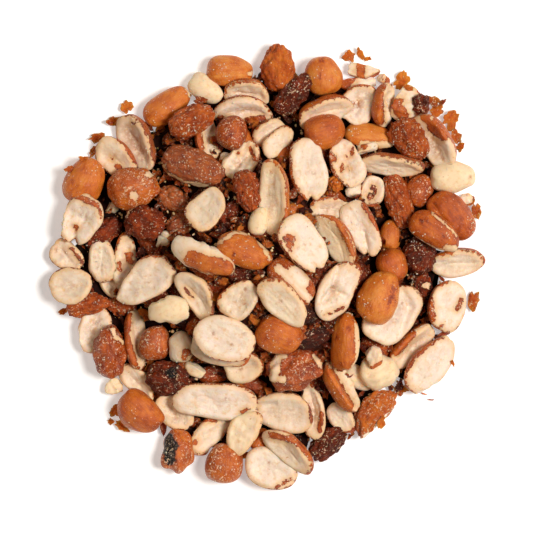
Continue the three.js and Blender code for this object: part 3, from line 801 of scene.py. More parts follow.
def half_form(unit, piece, draw):
    """A split half: a round bottom in its skin, and a cut face with a hollow and a crease."""
    a, b, deep = piece.length / 2, piece.width / 2, piece.depth
    around = np.arctan2(unit[:, 1], unit[:, 0])
    out = np.hypot(unit[:, 0], unit[:, 1])
    upper = unit[:, 2] > 1e-6
    hollow = HOLLOW_GAIN * piece.marks.get("hollow", draw.uniform(0.3, 0.9))
    crease = piece.marks.get("crease", draw.uniform(0.0, 0.4))
    lumps = piece.marks.get("lumps", draw.uniform(0.03, 0.12))
    camber = draw.uniform(-0.5, 0.2)
    edge = draw.uniform(0.5, 0.9)
    share = np.where(upper, out, out**0.86)
    reach = share * outline(around, piece, draw)
    x = a * reach * np.cos(around)
    y = b * reach * np.sin(around) * (1 - POINTED_END * share * np.cos(around))

    # The cut face, from its rounded edge inwards
    u, v = share * np.cos(around), share * np.sin(around)
    edge_share = edge * 1.2 / b
    into_edge = np.clip((share - 1 + edge_share) / edge_share, 0, 1)
    off_middle = v - 0.1 * np.sin(3 * u + draw.uniform(0, 6))
    inner = 1 - share**4
    face = deep / 2 - edge * (1 - np.sqrt(1 - into_edge**2))
    sunk = hollow * hump(off_middle, HOLLOW_WIDTH) * (1 - u**2) * inner
    face -= sunk
    face -= crease * hump(off_middle, CREASE_WIDTH) * np.clip(1.2 - 1.6 * np.abs(u), 0, 1)
    face += LIP_HEIGHT * hump(share - LIP_PLACE, LIP_WIDTH)
    sway = waves(flat_points(x, y), draw, height=2.5, length=7)
    face += STRIPE_HEIGHT * np.sin(y * STRIPES + sway) * inner

    # The round bottom
    dome_top = deep / 2 - edge
    dome = dome_top - (deep - edge) * np.abs(unit[:, 2]) ** 0.95
    points = np.stack([x, y, np.where(upper, face, dome)], 1)
    points[:, 2] += waves(points, draw, height=0.2, length=6) * np.where(upper, 1, 0.6)
    points[:, 2] += waves(points, draw, height=lumps, length=2.2) * upper
    points[:, 2] += camber * ((x / a) ** 2 - 0.4)
    points = bent(piece, points, draw, 0.8)
    normals = np.where(upper[:, None], np.array([0, 0, 1.0]), unit / piece.sizes())
    facing = normals @ piece.turned[2] > 0
    points = carved(piece, points, facing & upper, np.array([0, 0, -1.0]))

    # The skin ends below the face on most sides, and laps over its edge on one
    band = draw.uniform(0.1, 0.7)
    band_side = draw.uniform(-math.pi, math.pi)
    below = dome_top - dome - band * (0.6 + 0.5 * np.cos(around - band_side))
    lap = draw.uniform(0.06, 0.68)
    over = lap * np.cos(around - band_side - math.pi) - 0.05 - (1 - share) * b
    points, peel = broken_off(piece, points, np.where(upper, over, below), draw)
    points, peel, stain = marked(piece, points, facing, peel)
    # The hollow's depth is added to the stain as painted shade, tan like the shade in a hollow
    return points, peel, stain + HOLLOW_PAINTED_SHADE * sunk * upper


# A kernel: how full its ends are, how deep and wide its seam is, and how high its wrinkles are
FULLNESS = 0.82
SEAM_DEPTH = 0.1
SEAM_WIDTH = 0.1
WRINKLE = 0.42


def kernel_form(unit, piece, draw, wrinkle=0.0, lumps=0.14):
    """A whole kernel: a full egg, with a faint seam between its two halves."""
    a, b, c = piece.sizes()
    egg = unit[:, [2, 0, 1]]
    along = egg[:, 0]
    thin = np.maximum(np.sqrt(np.maximum(1 - along**2, 0)), 1e-9)
    full = thin**FULLNESS / thin * (1 - POINTED_END * along)
    slant = draw.uniform(-0.12, 0.12)
    x = a * along * (1 - 0.04 * along**8) + slant * b * egg[:, 1]
    points = np.stack([x, b * egg[:, 1] * full, c * egg[:, 2] * full], 1)
    around = np.arctan2(egg[:, 2], egg[:, 1])
    swell = waves(points, draw, height=lumps + piece.marks.get("lumps", 0), length=4.5)
    swell -= SEAM_DEPTH * hump(np.sin(around), SEAM_WIDTH)
    if wrinkle:
        turns = draw.integers(7, 10)
        sway = draw.uniform(0.8, 1.8) * np.sin(x / a * draw.uniform(2, 4) + draw.uniform(0, 6))
        uneven = waves(points, draw, height=0.6, length=4)
        ridges = np.abs(np.sin(turns * around / 2 + sway + uneven))
        coarse = waves(points, draw, height=wrinkle * 0.5, length=2.2, count=9)
        swell += coarse - wrinkle * (1 - ridges) ** 1.5
        swell += waves(points, draw, height=wrinkle * 0.35, length=1.1, count=12)
    points = points + egg * swell[:, None]
    points = bent(piece, points, draw, 0.4)
    facing = egg @ piece.turned[2] > 0
    points = carved(piece, points, facing, -egg)
    points, peel = broken_off(piece, points, np.full(len(points), ALL_SKIN), draw)
    return marked(piece, points, facing, peel)


def wrinkled_form(unit, piece, draw):
    """A shrunken kernel, with ridges along it."""
    return kernel_form(unit, piece, draw, piece.marks.get("wrinkle", WRINKLE), lumps=0.25)


def burnt_form(unit, piece, draw):
    """A burnt kernel: lumpy, cracked and wrinkled."""
    return kernel_form(unit, piece, draw, WRINKLE, lumps=0.3)


def bare_form(unit, piece, draw):
    """A whole kernel without its skin, apart from a few spots."""
    points, _, _ = kernel_form(unit, piece, draw, lumps=0.16)
    facing = points @ piece.turned[2] > 0
    return marked(piece, points, facing, np.full(len(points), NO_SKIN))


# A broken chunk: how many flat sides it has, how sharp its edges are, how far out its corners may
# reach, and how far out its skin begins, as shares of its size
CHUNK_SIDES = 9
CHUNK_SHARPNESS = 14
CHUNK_CORNERS = 1.15
CHUNK_SKIN = 0.62


def chunk_form(unit, piece, draw):
    """A broken chunk: a lump between flat broken sides, with skin on one side."""
    sides = draw.normal(size=(CHUNK_SIDES, 3))
    sides /= np.linalg.norm(sides, axis=1)[:, None]
    cuts = draw.uniform(0.6, 1.0, len(sides))
    nearness = np.maximum(unit @ sides.T / cuts, 1e-3)
    reach = (nearness**CHUNK_SHARPNESS).sum(1) ** (-1 / CHUNK_SHARPNESS)
    points = unit * np.minimum(reach, CHUNK_CORNERS)[:, None] * piece.sizes()
    points += unit * waves(points, draw, height=0.14, length=2)[:, None]
    skin_way = draw.normal(size=3) - np.array([0, 0, 0.8])
    skin_way /= np.linalg.norm(skin_way)
    peel = points @ skin_way - CHUNK_SKIN * piece.width / 2
    return marked(piece, points, points @ piece.turned[2] > 0, peel)


# A flake of skin: its thickness, and how its outline's lobes shrink as their number grows
FLAKE_THICKNESS = 0.09
FLAKE_LOBES = range(2, 12)
LOBE_FALL = 0.65
LEAST_REACH = 0.35


def flake_form(unit, piece, draw):
    """A papery flake of skin with a ragged outline, curled up at its edges."""
    around = np.arctan2(unit[:, 1], unit[:, 0])
    out = np.hypot(unit[:, 0], unit[:, 1])
    ragged = np.ones(len(around))
    for lobes in FLAKE_LOBES:
        lobe = 0.3 / lobes**LOBE_FALL * np.cos(lobes * around + draw.uniform(0, ANY_PHASE))
        ragged += lobe * draw.uniform(0.2, 1)
    ragged = np.maximum(ragged, LEAST_REACH)
    x = piece.length / 2 * ragged * out * np.cos(around)
    y = piece.width / 2 * ragged * out * np.sin(around)
    curl_way = draw.uniform(0, math.pi)
    side = (x * math.cos(curl_way) + y * math.sin(curl_way)) / piece.width
    curl = draw.uniform(0.3, 1.4) * piece.width / 2
    crumpled = waves(flat_points(x, y), draw, height=0.35, length=1.6)
    z = FLAKE_THICKNESS * unit[:, 2] + curl * side**2 + crumpled
    return np.stack([x, y, z], 1), np.full(len(x), ALL_SKIN), np.zeros(len(x))


def grain_form(unit, piece, draw):
    """A tiny pale grain with blunt corners."""
    points = unit * piece.sizes() * draw.uniform(0.7, 1.3, unit.shape)
    return points, np.full(len(points), NO_SKIN), np.zeros(len(points))


# Meshes


def mesh_piece(name, points, triangles, material, attributes=()):
    """A smooth mesh of the heap, at true size, with its values for the finish."""
    mesh = bpy.data.meshes.new(name)
    mesh.from_pydata((points * MM).tolist(), [], triangles.tolist())
    mesh.polygons.foreach_set("use_smooth", np.ones(len(triangles), dtype=bool))
    for title, kind, field, values in attributes:
        mesh.attributes.new(title, kind, "POINT").data.foreach_set(field, values.ravel())
    mesh.materials.append(material)
    mesh.update()
    made = bpy.data.objects.new(name, mesh)
    bpy.context.collection.objects.link(made)
    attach(made, "root")
    return made


# How much the looks of single pieces vary, and how far apart their patterns are taken
ROAST_PLAY = 0.05
YELLOW_PLAY = 0.1
PATTERN_SHIFT = 90


def joined(name, pieces, shape, material, draw):
    """One mesh of all pieces of a kind, each formed, turned, placed and given its looks."""
    unit, triangles = shape
    count = len(unit)
    points, own = np.empty((2, len(pieces) * count, 3))
    peels, stains_and_hollow_shade = np.empty((2, len(pieces) * count))
    looks = np.empty((len(pieces) * count, 4))
    for number, piece in enumerate(pieces):
        rows = slice(number * count, (number + 1) * count)
        formed, peels[rows], stains_and_hollow_shade[rows] = piece.form(unit, piece, draw)
        points[rows] = formed @ piece.turned.T + np.array([piece.x, piece.y, piece.z])
        points[rows, 2] = np.maximum(points[rows, 2], 0)
        own[rows] = formed + draw.uniform(-PATTERN_SHIFT, PATTERN_SHIFT, 3)
        roast = draw.uniform(-ROAST_PLAY, ROAST_PLAY)
        yellow = draw.uniform(-YELLOW_PLAY, YELLOW_PLAY)
        looks[rows] = np.add(piece.look, [roast, yellow, 0, 0])
    steps = np.arange(len(pieces))[:, None, None] * count
    faces = (triangles[None] + steps).reshape(-1, 3)
    attributes = [
        ("own", "FLOAT_VECTOR", "vector", own),
        ("peel", "FLOAT", "value", peels),
        ("stain", "FLOAT", "value", stains_and_hollow_shade),
        ("looks", "FLOAT_COLOR", "color", looks),
    ]
    return mesh_piece(name, points, faces, material, attributes)


# Materials


def colour(red, green, blue):
    """A colour as seen on a screen, 0 to 255, as Blender's linear colour."""
    return tuple(((part / 255 + 0.055) / 1.055) ** 2.4 if part > 10 else part / 255 / 12.92
                 for part in (red, green, blue)) + (1.0,)


class Finish:
    """A material's node tree, with short calls for the nodes that the finishes are made of."""

    def __init__(self, name):
        self.material = bpy.data.materials.new(name)
        self.material.use_nodes = True
        self.tree = self.material.node_tree
        self.shader = self.tree.nodes["Principled BSDF"]

    def node(self, kind, inputs=None, **settings):
        made = self.tree.nodes.new(kind)
        for setting, value in settings.items():
            setattr(made, setting, value)
        for key, value in (inputs or {}).items():
            self.put(made.inputs[key], value)
        return made

    def put(self, socket, value):
        """Links a node's output to a socket, or sets the socket's value."""
        if isinstance(value, bpy.types.NodeSocket):
            self.tree.links.new(value, socket)
        else:
            socket.default_value = value

    def attribute(self, name):
        return self.node("ShaderNodeAttribute", attribute_name=name).outputs

    def place(self):
        return self.node("ShaderNodeTexCoord").outputs["Object"]

    def sum(self, operation, first, second=0.0, third=0.0, clamp=False):
        made = self.node("ShaderNodeMath", {0: first, 1: second, 2: third}, operation=operation)
        made.use_clamp = clamp
        return made.outputs[0]

    def vary(self, value, pattern, share, clamp=False):
        """The value with a share of a pattern added, the pattern's middle counted as nothing."""
        return self.sum("MULTIPLY_ADD", self.sum("SUBTRACT", pattern, 0.5), share, value, clamp)

    def stretched(self, vector, factors):
        made = self.node("ShaderNodeVectorMath", {0: vector, 1: factors}, operation="MULTIPLY")
        return made.outputs[0]

    def noise(self, vector, scale, detail, roughness=0.5):
        inputs = {"Vector": vector, "Scale": scale, "Detail": detail, "Roughness": roughness}
        return self.node("ShaderNodeTexNoise", inputs).outputs["Fac"]

    def step(self, value, low, high):
        """0 below low, 1 above high and smooth between them."""
        made = self.node("ShaderNodeMapRange", {"Value": value, "From Min": low, "From Max": high})
        made.interpolation_type = "SMOOTHSTEP"
        return made.outputs[0]

    def blend(self, share, first, second):
        """A colour between two others."""
        made = self.node("ShaderNodeMix", {0: share, 6: first, 7: second}, data_type="RGBA")
        return made.outputs[2]

    def between(self, share, first, second):
        """A number between two others."""
        made = self.node("ShaderNodeMix", {0: share, 2: first, 3: second}, data_type="FLOAT")
        return made.outputs[0]

    def coats(self, shade, *coats):
        """A colour under coats of others, each as [where, how strong at most, its colour]."""
        for where, most, coat in coats:
            shade = self.blend(self.sum("MULTIPLY", where, most), shade, coat)
        return shade

    def ramp(self, value, stops):
        made = self.node("ShaderNodeValToRGB", {0: value})
        ramp = made.color_ramp
        ramp.elements[0].position, ramp.elements[0].color = stops[0]
        ramp.elements[1].position, ramp.elements[1].color = stops[-1]
        for place, shade in stops[1:-1]:
            ramp.elements.new(place).color = shade
        return made.outputs[0]

    def bump(self, height, distance):
        return self.node("ShaderNodeBump", {"Height": height, "Distance": distance}).outputs[0]

    def finished(self, inputs):
        """The material, with what goes into its shader."""
        for key, value in inputs.items():
            self.put(self.shader.inputs[key], value)
        return self.material


# Patterns on a nut, as [scale for each millimetre, detail, roughness]
PATTERNS = {
    "ragged": (0.85, 4.0, 0.65),
    "mottling": (0.3, 3.0, 0.6),
    "grain": (3.2, 2.0, 0.6),
    "speckles": (1.6, 3.0, 0.65),
    "patches": (0.35, 1.0),
    "tone": (0.22, 2.0),
    "cloud": (0.7, 4.0, 0.65),
    "spots": (1.1, 1.0),
    "bare_grain": (1.7, 4.0, 0.6),
}
VEINS = (0.9, 4.0, 0.65)
VEINS_ALONG = (0.35, 1.6, 1.6)

# How much each pattern changes the roast of the skin, and how ragged the skin's border is
MOTTLED = {"mottling": 0.75, "veins": 0.55, "grain": 0.3}
BORDER_PLAY = 2.2
BORDER_DARKENING = 0.14
STAIN_ROAST = 0.4

# The skin from light to burnt, and what lies on it
SKIN_SHADES = [
    (0.0, colour(222, 142, 60)),
    (0.2, colour(209, 113, 34)),
    (0.4, colour(184, 85, 26)),
    (0.6, colour(138, 49, 10)),
    (0.8, colour(90, 27, 5)),
    (1.0, colour(42, 14, 6)),
]
CHARRED_SKIN = colour(22, 17, 15)
# Pale flecks on the skin: partly salt and broken skin, partly painted glints
FLECK_AND_GLINT = colour(244, 206, 170)
GREY_SKIN = colour(146, 108, 84)

# The bare nut
PINK_CREAM = colour(237, 219, 202)
YELLOW_CREAM = colour(238, 212, 174)
GREY_CREAM = colour(214, 191, 160)
CLOUDED = colour(226, 180, 122)
SPOTTED = colour(196, 136, 80)
# Stain colour, also the painted tan shade in the hollows of halves
STAIN_AND_HOLLOW_SHADE = colour(172, 108, 62)
# Tan next to the skin: partly the nut's own edge colour, partly painted shade on the rounded edge below the
# cut face
EDGE_TAN_AND_SHADE = colour(222, 170, 108)

# Relief, in steps of the relief's depth, and how light sinks into the nut
RELIEF_DEPTH = 0.15
VEIN_RELIEF = 1.4
FLECK_RELIEF = 0.8
SKIN_THICKNESS = 1.2
BARE_ROUGHNESS = 0.6
LIGHT_SINKS = {
    "Subsurface Weight": 0.4,
    "Subsurface Radius": (1.0, 0.45, 0.18),
    "Subsurface Scale": 1.6 * MM,
}


def nut_finish(name, skin_relief, skin_roughness, gloss):
    """Bare nut and papery skin, parted where the skin has peeled off."""
    made = Finish(name)
    own = made.attribute("own")["Vector"]
    peel = made.attribute("peel")["Fac"]
    stain = made.attribute("stain")["Fac"]
    looks = made.attribute("looks")
    grey = looks["Alpha"]
    parts = made.node("ShaderNodeSeparateColor", {0: looks["Color"]}).outputs
    roast, yellow, flecks = parts[0], parts[1], parts[2]
    pattern = {title: made.noise(own, *sizes) for title, sizes in PATTERNS.items()}
    pattern["veins"] = made.noise(made.stretched(own, VEINS_ALONG), *VEINS)

    # The ragged border of the skin
    border = made.vary(peel, pattern["ragged"], BORDER_PLAY)
    skinned = made.step(border, -0.05, 0.06)

    # Skin: mottled and veined along the nut, darker at its border and in its stains
    for title, share in MOTTLED.items():
        roast = made.vary(roast, pattern[title], share)
    roast = made.sum("MULTIPLY_ADD", made.step(border, 0.7, 0.0), BORDER_DARKENING, roast)
    # The stain, which also holds the painted shade of the halves' hollows, darkens skin and bare nut
    stained = made.sum("MULTIPLY", stain, made.step(pattern["ragged"], 0.36, 0.6))
    roast = made.sum("MULTIPLY_ADD", stained, STAIN_ROAST, roast)
    charred = made.step(made.sum("MULTIPLY_ADD", pattern["ragged"], 3.5, stain), 3.6, 4.1)

    # Pale flecks, partly salt and broken skin and partly painted glints, more of them the higher their
    # share, and in patches
    least = made.sum("MULTIPLY_ADD", flecks, -0.15, 0.67)
    fleck_and_glint = made.step(made.sum("SUBTRACT", pattern["speckles"], least), 0.0, 0.03)
    patchy = made.sum("MULTIPLY_ADD", made.step(pattern["patches"], 0.4, 0.6), 0.8, 0.2)
    fleck_and_glint = made.sum("MULTIPLY", fleck_and_glint, patchy)
    skin = made.coats(
        made.ramp(roast, SKIN_SHADES),
        (charred, 0.95, CHARRED_SKIN),
        (fleck_and_glint, 0.92, FLECK_AND_GLINT),
        (grey, 0.5, GREY_SKIN),
    )

    # Bare nut: pink to yellow cream, a little stained, with painted tan shade in the halves' hollows,
    # darker next to the skin, partly its own colour and partly painted shade on the rounded edge
    yellowed = made.vary(yellow, pattern["tone"], 0.9, clamp=True)
    bare = made.coats(
        made.blend(yellowed, PINK_CREAM, YELLOW_CREAM),
        (grey, 0.8, GREY_CREAM),
        (made.step(pattern["cloud"], 0.46, 0.82), 1.0, CLOUDED),
        (made.step(pattern["spots"], 0.74, 0.8), 0.7, SPOTTED),
        (stained, 0.7, STAIN_AND_HOLLOW_SHADE),
        (made.step(peel, -1.8, 0.1), 0.66, EDGE_TAN_AND_SHADE),
    )

    # Relief: the skin's thickness, its veins, flecks and grain, and the bare nut's fine grain
    raised = made.sum("MULTIPLY_ADD", fleck_and_glint, FLECK_RELIEF, pattern["grain"])
    raised = made.sum("MULTIPLY_ADD", pattern["veins"], VEIN_RELIEF, raised)
    raised = made.sum("ADD", made.sum("MULTIPLY", raised, skin_relief), SKIN_THICKNESS)
    relief = made.between(skinned, pattern["bare_grain"], raised)
    dry = made.sum("MULTIPLY_ADD", pattern["grain"], 0.25, skin_roughness)
    return made.finished({
        "Base Color": made.blend(skinned, bare, skin),
        "Roughness": made.between(skinned, BARE_ROUGHNESS, dry),
        "Normal": made.bump(relief, RELIEF_DEPTH * MM),
        "Specular IOR Level": gloss,
        **LIGHT_SINKS,
    })


def core_shade_finish():
    """The inside of the heap, painted near black as the shade deep between the nuts, with a crumbly grain.
    """
    made = Finish("heap_shadow")
    mottling = made.noise(made.place(), 260.0, 4.0, 0.65)
    relief = made.noise(made.place(), 700.0, 3.0, 0.6)
    return made.finished({
        "Base Color": made.ramp(mottling, [(0.3, colour(13, 4, 2)), (0.7, colour(48, 15, 7))]),
        "Roughness": made.sum("MULTIPLY_ADD", relief, 0.2, 0.7),
        "Normal": made.bump(relief, 0.4 * MM),
        "Specular IOR Level": 0.1,
    })


def floor_finish():
    """A plain pale surface with the faintest grain."""
    made = Finish("pale_floor")
    cloud = made.noise(made.place(), 40.0, 2.0)
    shade = made.blend(cloud, colour(232, 231, 231), colour(228, 227, 228))
    return made.finished({
        "Base Color": shade,
        "Roughness": 0.8,
        "Normal": made.bump(cloud, 0.05 * MM),
        "Emission Color": shade,
        "Emission Strength": 0.45,
    })


# Placing

# The kinds of nut that show: their rows, their depth as a share of their width, whether they are
# split, and their form
KINDS = {
    "split_halves": (SPLIT_HALVES, HALF_DEPTH, True, half_form),
    "whole_kernels": (WHOLE_KERNELS, KERNEL_DEPTH, False, kernel_form),
    "wrinkled_kernels": (WRINKLED_KERNELS, KERNEL_DEPTH, False, wrinkled_form),
    "burnt_kernels": (BURNT_KERNELS, KERNEL_DEPTH, False, burnt_form),
    "bare_kernels": (BARE_KERNELS, KERNEL_DEPTH, False, bare_form),
    "broken_chunks": (BROKEN_CHUNKS, KERNEL_DEPTH, False, chunk_form),
}


def shown_pieces(heights):
    """The pieces of each kind, laid in the order that the solid lays them in."""
    shown = {name: [Piece(row, depth, split, form) for row in rows]
             for name, (rows, depth, split, form) in KINDS.items()}
    every = [piece for pieces in shown.values() for piece in pieces]
    for piece in sorted(every, key=lambda piece: piece.level):
        heights.lay(piece)
    return shown


# The nuts below those that show: how far apart and how far out they are tried, their sizes and
# looks, how far the buried ones stand out of the core, and the room that they leave to the others
NUT_LENGTHS = (11, 17)
NUT_WIDTHS = (7.5, 9.5)
BURIED_SPACING = 4.2
BURIED_REACH = 52
# The buried nuts get the darkest looks, painted shade for the gaps between the nuts on top
BURIED_SHADE_LOOKS = ["deep", "black", "dark", "black", "dark", "red"]
BURIED_RISE = 2.2
BURIED_ROOM = 2.2
LOWEST_BURIED = 0.45
DEEPEST_BURIED = 0.3
FLOOR_SPACING = 5.4
FLOOR_REACH = 50
FLOOR_LOOKS = ["orange", "brown", "red", "cream", "pink", "brown"]
GOLDEN_ANGLE = math.radians(137.508)


def spiral(spacing, reach):
    """Places spread evenly over a disc."""
    count = int((reach / spacing) ** 2)
    for number in range(count):
        radius = spacing * math.sqrt(number + 0.5)
        yield radius * math.cos(number * GOLDEN_ANGLE), radius * math.sin(number * GOLDEN_ANGLE)


def some_nut(x, y, draw, looks, form):
    """A nut of any size and turn at a place."""
    row = [x, y, draw.uniform(0, 360), draw.uniform(*NUT_LENGTHS), draw.uniform(*NUT_WIDTHS),
           0, 0, looks[draw.integers(len(looks))]]
    return Piece(row, KERNEL_DEPTH, False, form)


def buried_pieces(heights, draw):
    """Nuts half sunk in the core, seen between those on top, in the darkest looks as painted shade for the
    gaps.
    """
    pieces = []
    for x, y in spiral(BURIED_SPACING, BURIED_REACH):
        piece = some_nut(x, y, draw, BURIED_SHADE_LOOKS, wrinkled_form)
        outward = math.hypot(x, y)
        slope = (core_height(outward + 1, 0) - core_height(outward - 1, 0)) / 2
        piece.lean((-slope * x / outward, -slope * y / outward, 1))
        rise = BURIED_RISE + draw.uniform(-1, 1)
        piece.z = max(core_height(x, y) + rise - piece.depth / 2, piece.depth * LOWEST_BURIED)
        window, u, v = heights.window(piece)
        low, high = columns_through(piece, u - x, v - y)
        above = heights.top[window]
        room = np.where(above > 0, above - BURIED_ROOM - high, np.nan)
        piece.z = np.nanmin(np.append(room, piece.z))
        if piece.z > piece.depth * DEEPEST_BURIED:
            pieces.append(piece)
    return pieces


def floor_pieces(draw, shown):
    """The nuts that the heap rests on, seen from below."""
    pieces = []
    rim = [piece for kind in shown.values() for piece in kind if piece.z < piece.width]
    for x, y in spiral(FLOOR_SPACING, FLOOR_REACH):
        piece = some_nut(x, y, draw, FLOOR_LOOKS, kernel_form)
        piece.z = piece.depth / 2
        near = [other for other in rim
                if math.hypot(other.x - x, other.y - y) < (other.width + piece.width) / 2]
        if not near and core_height(x, y) > 1:
            pieces.append(piece)
    return pieces


# Flakes of skin and crumbs: their depth as a share of their width, how far they tilt, their sizes
# and looks, and how far above what they lie on they are
FLAKE_DEPTH = 0.1
LARGE_FLAKE_TILT = 0.35
GAP_FLAKES = 340
GAP_FLAKE_TILT = 1.2
GAP_FLAKE_LENGTHS = (1.2, 4.6)
# The gap flakes' looks are mostly dark: skin colours darkened as painted shade for the gaps
GAP_FLAKE_LOOKS_AND_SHADE = ["deep", "black", "red", "dark", "red", "deep", "brown"]
CRUMBS = 240
CRUMB_LENGTHS = (0.3, 1.1)
CRUMB_LOOKS = ["tan", "yellow", "red", "brown"]
CRUMB_DEPTH = 0.8
CRUMB_RISE = 0.4

# A gap: how far below the mean of the cells round it, and how little above the core
GAP_DEPTH = 2.9
GAP_CELLS = 4
GAP_RISE = 2.5


def flake_at(x, y, turn, length, width, look, tilt, draw):
    """A flake of skin at a place, tilted at random."""
    flake = Piece([x, y, turn, length, width, 0, 0, look], FLAKE_DEPTH, False, flake_form)
    flake.lean((*draw.uniform(-tilt, tilt, 2), 1))
    return flake


def large_flakes(heights, draw):
    """The larger flakes, each just above what it lies on."""
    flakes = [flake_at(*row, LARGE_FLAKE_TILT, draw) for row in LARGE_FLAKES]
    for flake in flakes:
        flake.z = heights.at(flake.x, flake.y) + 0.35 + 0.15 * flake.width
    return flakes


def gap_places(heights, draw, count):
    """Random places that lie well below the nuts round them."""
    found = []
    while len(found) < count:
        x, y = draw.uniform(-CORE_RADIUS, CORE_RADIUS, 2)
        if math.hypot(x, y) > CORE_RADIUS:
            continue
        top, core = heights.at(x, y), core_height(x, y)
        if heights.around(x, y, GAP_CELLS).mean() - top > GAP_DEPTH and top - core < GAP_RISE:
            found.append((x, y, max(top, core)))
    return found


def gap_flakes(heights, draw):
    """Scraps of skin between the nuts, most of them dark as painted shade for the gaps."""
    flakes = []
    for x, y, height in gap_places(heights, draw, GAP_FLAKES):
        look = GAP_FLAKE_LOOKS_AND_SHADE[draw.integers(len(GAP_FLAKE_LOOKS_AND_SHADE))]
        size = draw.uniform(*GAP_FLAKE_LENGTHS)
        turn = draw.uniform(0, 360)
        flake = flake_at(x, y, turn, size, size * draw.uniform(0.4, 0.8), look, GAP_FLAKE_TILT, draw)
        flake.z = height + draw.uniform(0.4, 1.6)
        flakes.append(flake)
    return flakes


def crumb_pieces(heights, draw):
    """Crumbs of nut between the nuts."""
    crumbs = []
    for x, y, height in gap_places(heights, draw, CRUMBS):
        look = CRUMB_LOOKS[draw.integers(len(CRUMB_LOOKS))]
        size = draw.uniform(*CRUMB_LENGTHS)
        row = [x, y, draw.uniform(0, 360), size, size * 0.8, 0, 0, look]
        crumb = Piece(row, CRUMB_DEPTH, False, chunk_form)
        crumb.z = height + CRUMB_RISE
        crumbs.append(crumb)
    return crumbs


# Grains: how many, how many clusters they lie in, how far from a cluster's middle in cells, their
# sizes, of which the small ones are by far the most, and the cells that they are placed by
GRAINS = 3200
GRAIN_CLUSTERS = 420
GRAIN_SCATTER = 2.4
GRAIN_SIZES = (0.15, 0.62)
GRAIN_CELL = 0.5
GRAIN_DEPTH = 0.7


def grain_pieces(nuts, draw):
    """Pale grains on the nuts that show."""
    points = np.concatenate([np.array([vertex.co for vertex in nut.data.vertices]) for nut in nuts])
    points = points[np.argsort(points[:, 2])] / MM
    cells = np.floor((points[:, :2] + REACH) / GRAIN_CELL).astype(int)
    across = int(2 * REACH / GRAIN_CELL)
    topmost = np.full((across, across), -1)
    topmost[cells[:, 0], cells[:, 1]] = np.arange(len(points))
    middles = np.argwhere(topmost >= 0)[draw.choice((topmost >= 0).sum(), GRAIN_CLUSTERS)]
    least, most = GRAIN_SIZES
    pieces = []
    while len(pieces) < GRAINS:
        middle = middles[draw.integers(len(middles))]
        place = middle + draw.normal(0, GRAIN_SCATTER, 2).round().astype(int)
        if topmost[tuple(place)] < 0:
            continue
        x, y, z = points[topmost[tuple(place)]]
        size = least + (most - least) * draw.uniform() ** 3
        row = [x, y, draw.uniform(0, 360), size, size, 0, 0, "cream"]
        grain = Piece(row, GRAIN_DEPTH, False, grain_form)
        grain.z = z + 0.1 * size
        pieces.append(grain)
    return pieces


# The lump inside the heap: its sides round and up, how far it stays within the heap's outline, below
# the smooth core and below what lies some cells away, and how high its foot is
LUMP_SIDES = (120, 60)
LUMP_INSET = 6
LUMP_SINK = 4
LUMP_ROOM = 2.6
LUMP_ROOM_CELLS = 2
LUMP_FOOT = 0.4


def core_lump(heights, draw):
    """The lump that the nuts lie on: an uneven dome, below whatever shows."""
    unit, triangles = ball(*LUMP_SIDES)
    out = np.hypot(unit[:, 0], unit[:, 1])
    around = np.arctan2(unit[:, 1], unit[:, 0])
    foot = np.array([heights.outline_at(angle) for angle in around]) - LUMP_INSET
    foot *= 1 + waves(unit, draw, height=0.02, length=0.3, count=9)
    x, y = unit[:, 0] * foot, unit[:, 1] * foot
    points = np.stack([x, y, core_height(x, y, LUMP_SINK)], 1)
    bumps = waves(points, draw, height=1.1, length=6, count=12)
    bumps = bumps + waves(points, draw, height=0.5, length=2.5, count=12)
    near = [heights.around(*place, LUMP_ROOM_CELLS) for place in points[:, :2]]
    above = np.array([np.where(tops > 0, tops, REACH).min() for tops in near])
    top = np.minimum(points[:, 2] + bumps * (1 - out**6), above - LUMP_ROOM)
    points[:, 2] = np.where(unit[:, 2] > 0, np.maximum(top, 2 * LUMP_FOOT), LUMP_FOOT)
    return mesh_piece("heap_core", points, triangles, core_shade_finish())


# The studio: the photograph's pixels, the size of one and the middle of the picture on the heap, the
# camera over it, the surface and the sky
PHOTO_PIXELS = 533
PHOTO_PIXEL = 0.28
PHOTO_MIDDLE = (0.14, 0)
CAMERA_HEIGHT = 2000
SHARP_HEIGHT = 10
SENSOR = 36
FLOOR_SIZE = 6
FLOOR_DROP = 0.02
SKY = (1, 0.8, 0.6, 1)
SKY_STRENGTH = 0.07


def placed(name, data, place):
    """An object of the studio, at its place."""
    made = bpy.data.objects.new(name, data)
    made.location = place
    bpy.context.collection.objects.link(made)
    return made


def camera():
    """A camera straight above, whose picture is as wide as the photograph at the sharp height."""
    data = bpy.data.cameras.new("camera")
    data.sensor_width = SENSOR
    data.lens = (CAMERA_HEIGHT - SHARP_HEIGHT) * SENSOR / (PHOTO_PIXELS * PHOTO_PIXEL)
    data.clip_end = 10
    x, y = PHOTO_MIDDLE
    bpy.context.scene.camera = placed("camera", data, (x * MM, y * MM, CAMERA_HEIGHT * MM))


def area_light(name, place, size, power, shade):
    """A round lamp that points at the heap."""
    data = bpy.data.lights.new(name, "AREA")
    data.shape = "DISK"
    data.size = size
    data.energy = power
    data.color = shade
    light = placed(name, data, place)
    light.rotation_euler = (-Vector(place)).to_track_quat("-Z", "Y").to_euler()


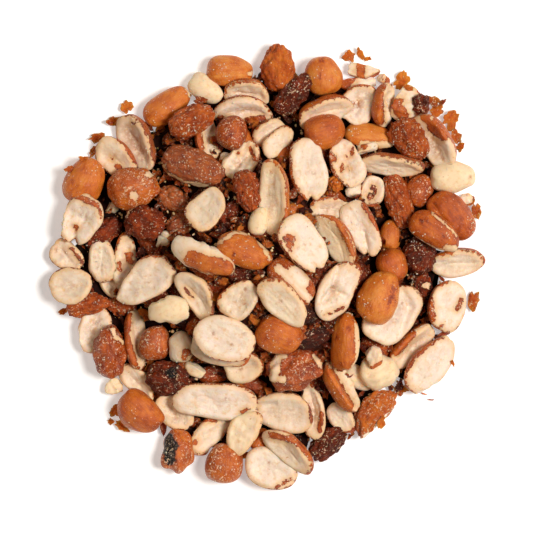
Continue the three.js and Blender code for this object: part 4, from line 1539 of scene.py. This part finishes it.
def studio():
    """The pale surface, a key light with a weaker and warmer fill, and a faint sky."""
    bpy.ops.mesh.primitive_plane_add(size=FLOOR_SIZE, location=(0, 0, -FLOOR_DROP * MM))
    floor = bpy.context.object
    floor.name = "pale_floor"
    floor.data.materials.append(floor_finish())
    area_light("key_light", (1.35, 0.1, 2.4), size=1.0, power=84, shade=(1.0, 0.98, 0.94))
    area_light("fill_light", (-1.3, 0.3, 2.5), size=1.5, power=16, shade=(1.0, 0.86, 0.68))
    world = bpy.data.worlds.new("soft_sky")
    world.use_nodes = True
    sky = world.node_tree.nodes["Background"]
    sky.inputs["Color"].default_value = SKY
    sky.inputs["Strength"].default_value = SKY_STRENGTH
    bpy.context.scene.world = world
    bpy.context.scene.view_settings.view_transform = "Standard"
    bpy.context.scene.view_settings.look = "None"


camera()
draw = np.random.default_rng(SEED)
heights = HeightMap()
shown = shown_pieces(heights)
satin = nut_finish("satin_skin", skin_relief=1.5, skin_roughness=0.16, gloss=0.38)
dusty = nut_finish("dusty_skin", skin_relief=2.4, skin_roughness=0.24, gloss=0.24)
half_shape = ball(56, 30)
kernel_shape = ball(64, 40)
hidden_shape = ball(26, 16)
halves = joined("split_halves", shown["split_halves"], half_shape, satin, draw)
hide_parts("peanut_heap")
nuts = [
    halves,
    joined("whole_kernels", shown["whole_kernels"], kernel_shape, satin, draw),
    joined("wrinkled_kernels", shown["wrinkled_kernels"], kernel_shape, dusty, draw),
    joined("burnt_kernels", shown["burnt_kernels"], kernel_shape, dusty, draw),
    joined("bare_kernels", shown["bare_kernels"], half_shape, satin, draw),
    joined("broken_chunks", shown["broken_chunks"], half_shape, satin, draw),
]
joined("pale_grains", grain_pieces(nuts, draw), cube(), satin, draw)
joined("buried_nuts", buried_pieces(heights, draw), hidden_shape, dusty, draw)
joined("floor_nuts", floor_pieces(draw, shown), hidden_shape, satin, draw)
scraps = {
    "skin_flakes": (large_flakes(heights, draw), ball(26, 7), dusty),
    "gap_flakes": (gap_flakes(heights, draw), ball(16, 4), dusty),
    "crumbs": (crumb_pieces(heights, draw), ball(8, 5), satin),
}
for name, (pieces, shape, finish) in scraps.items():
    joined(name, pieces, shape, finish, draw)
core_lump(heights, draw)
studio()
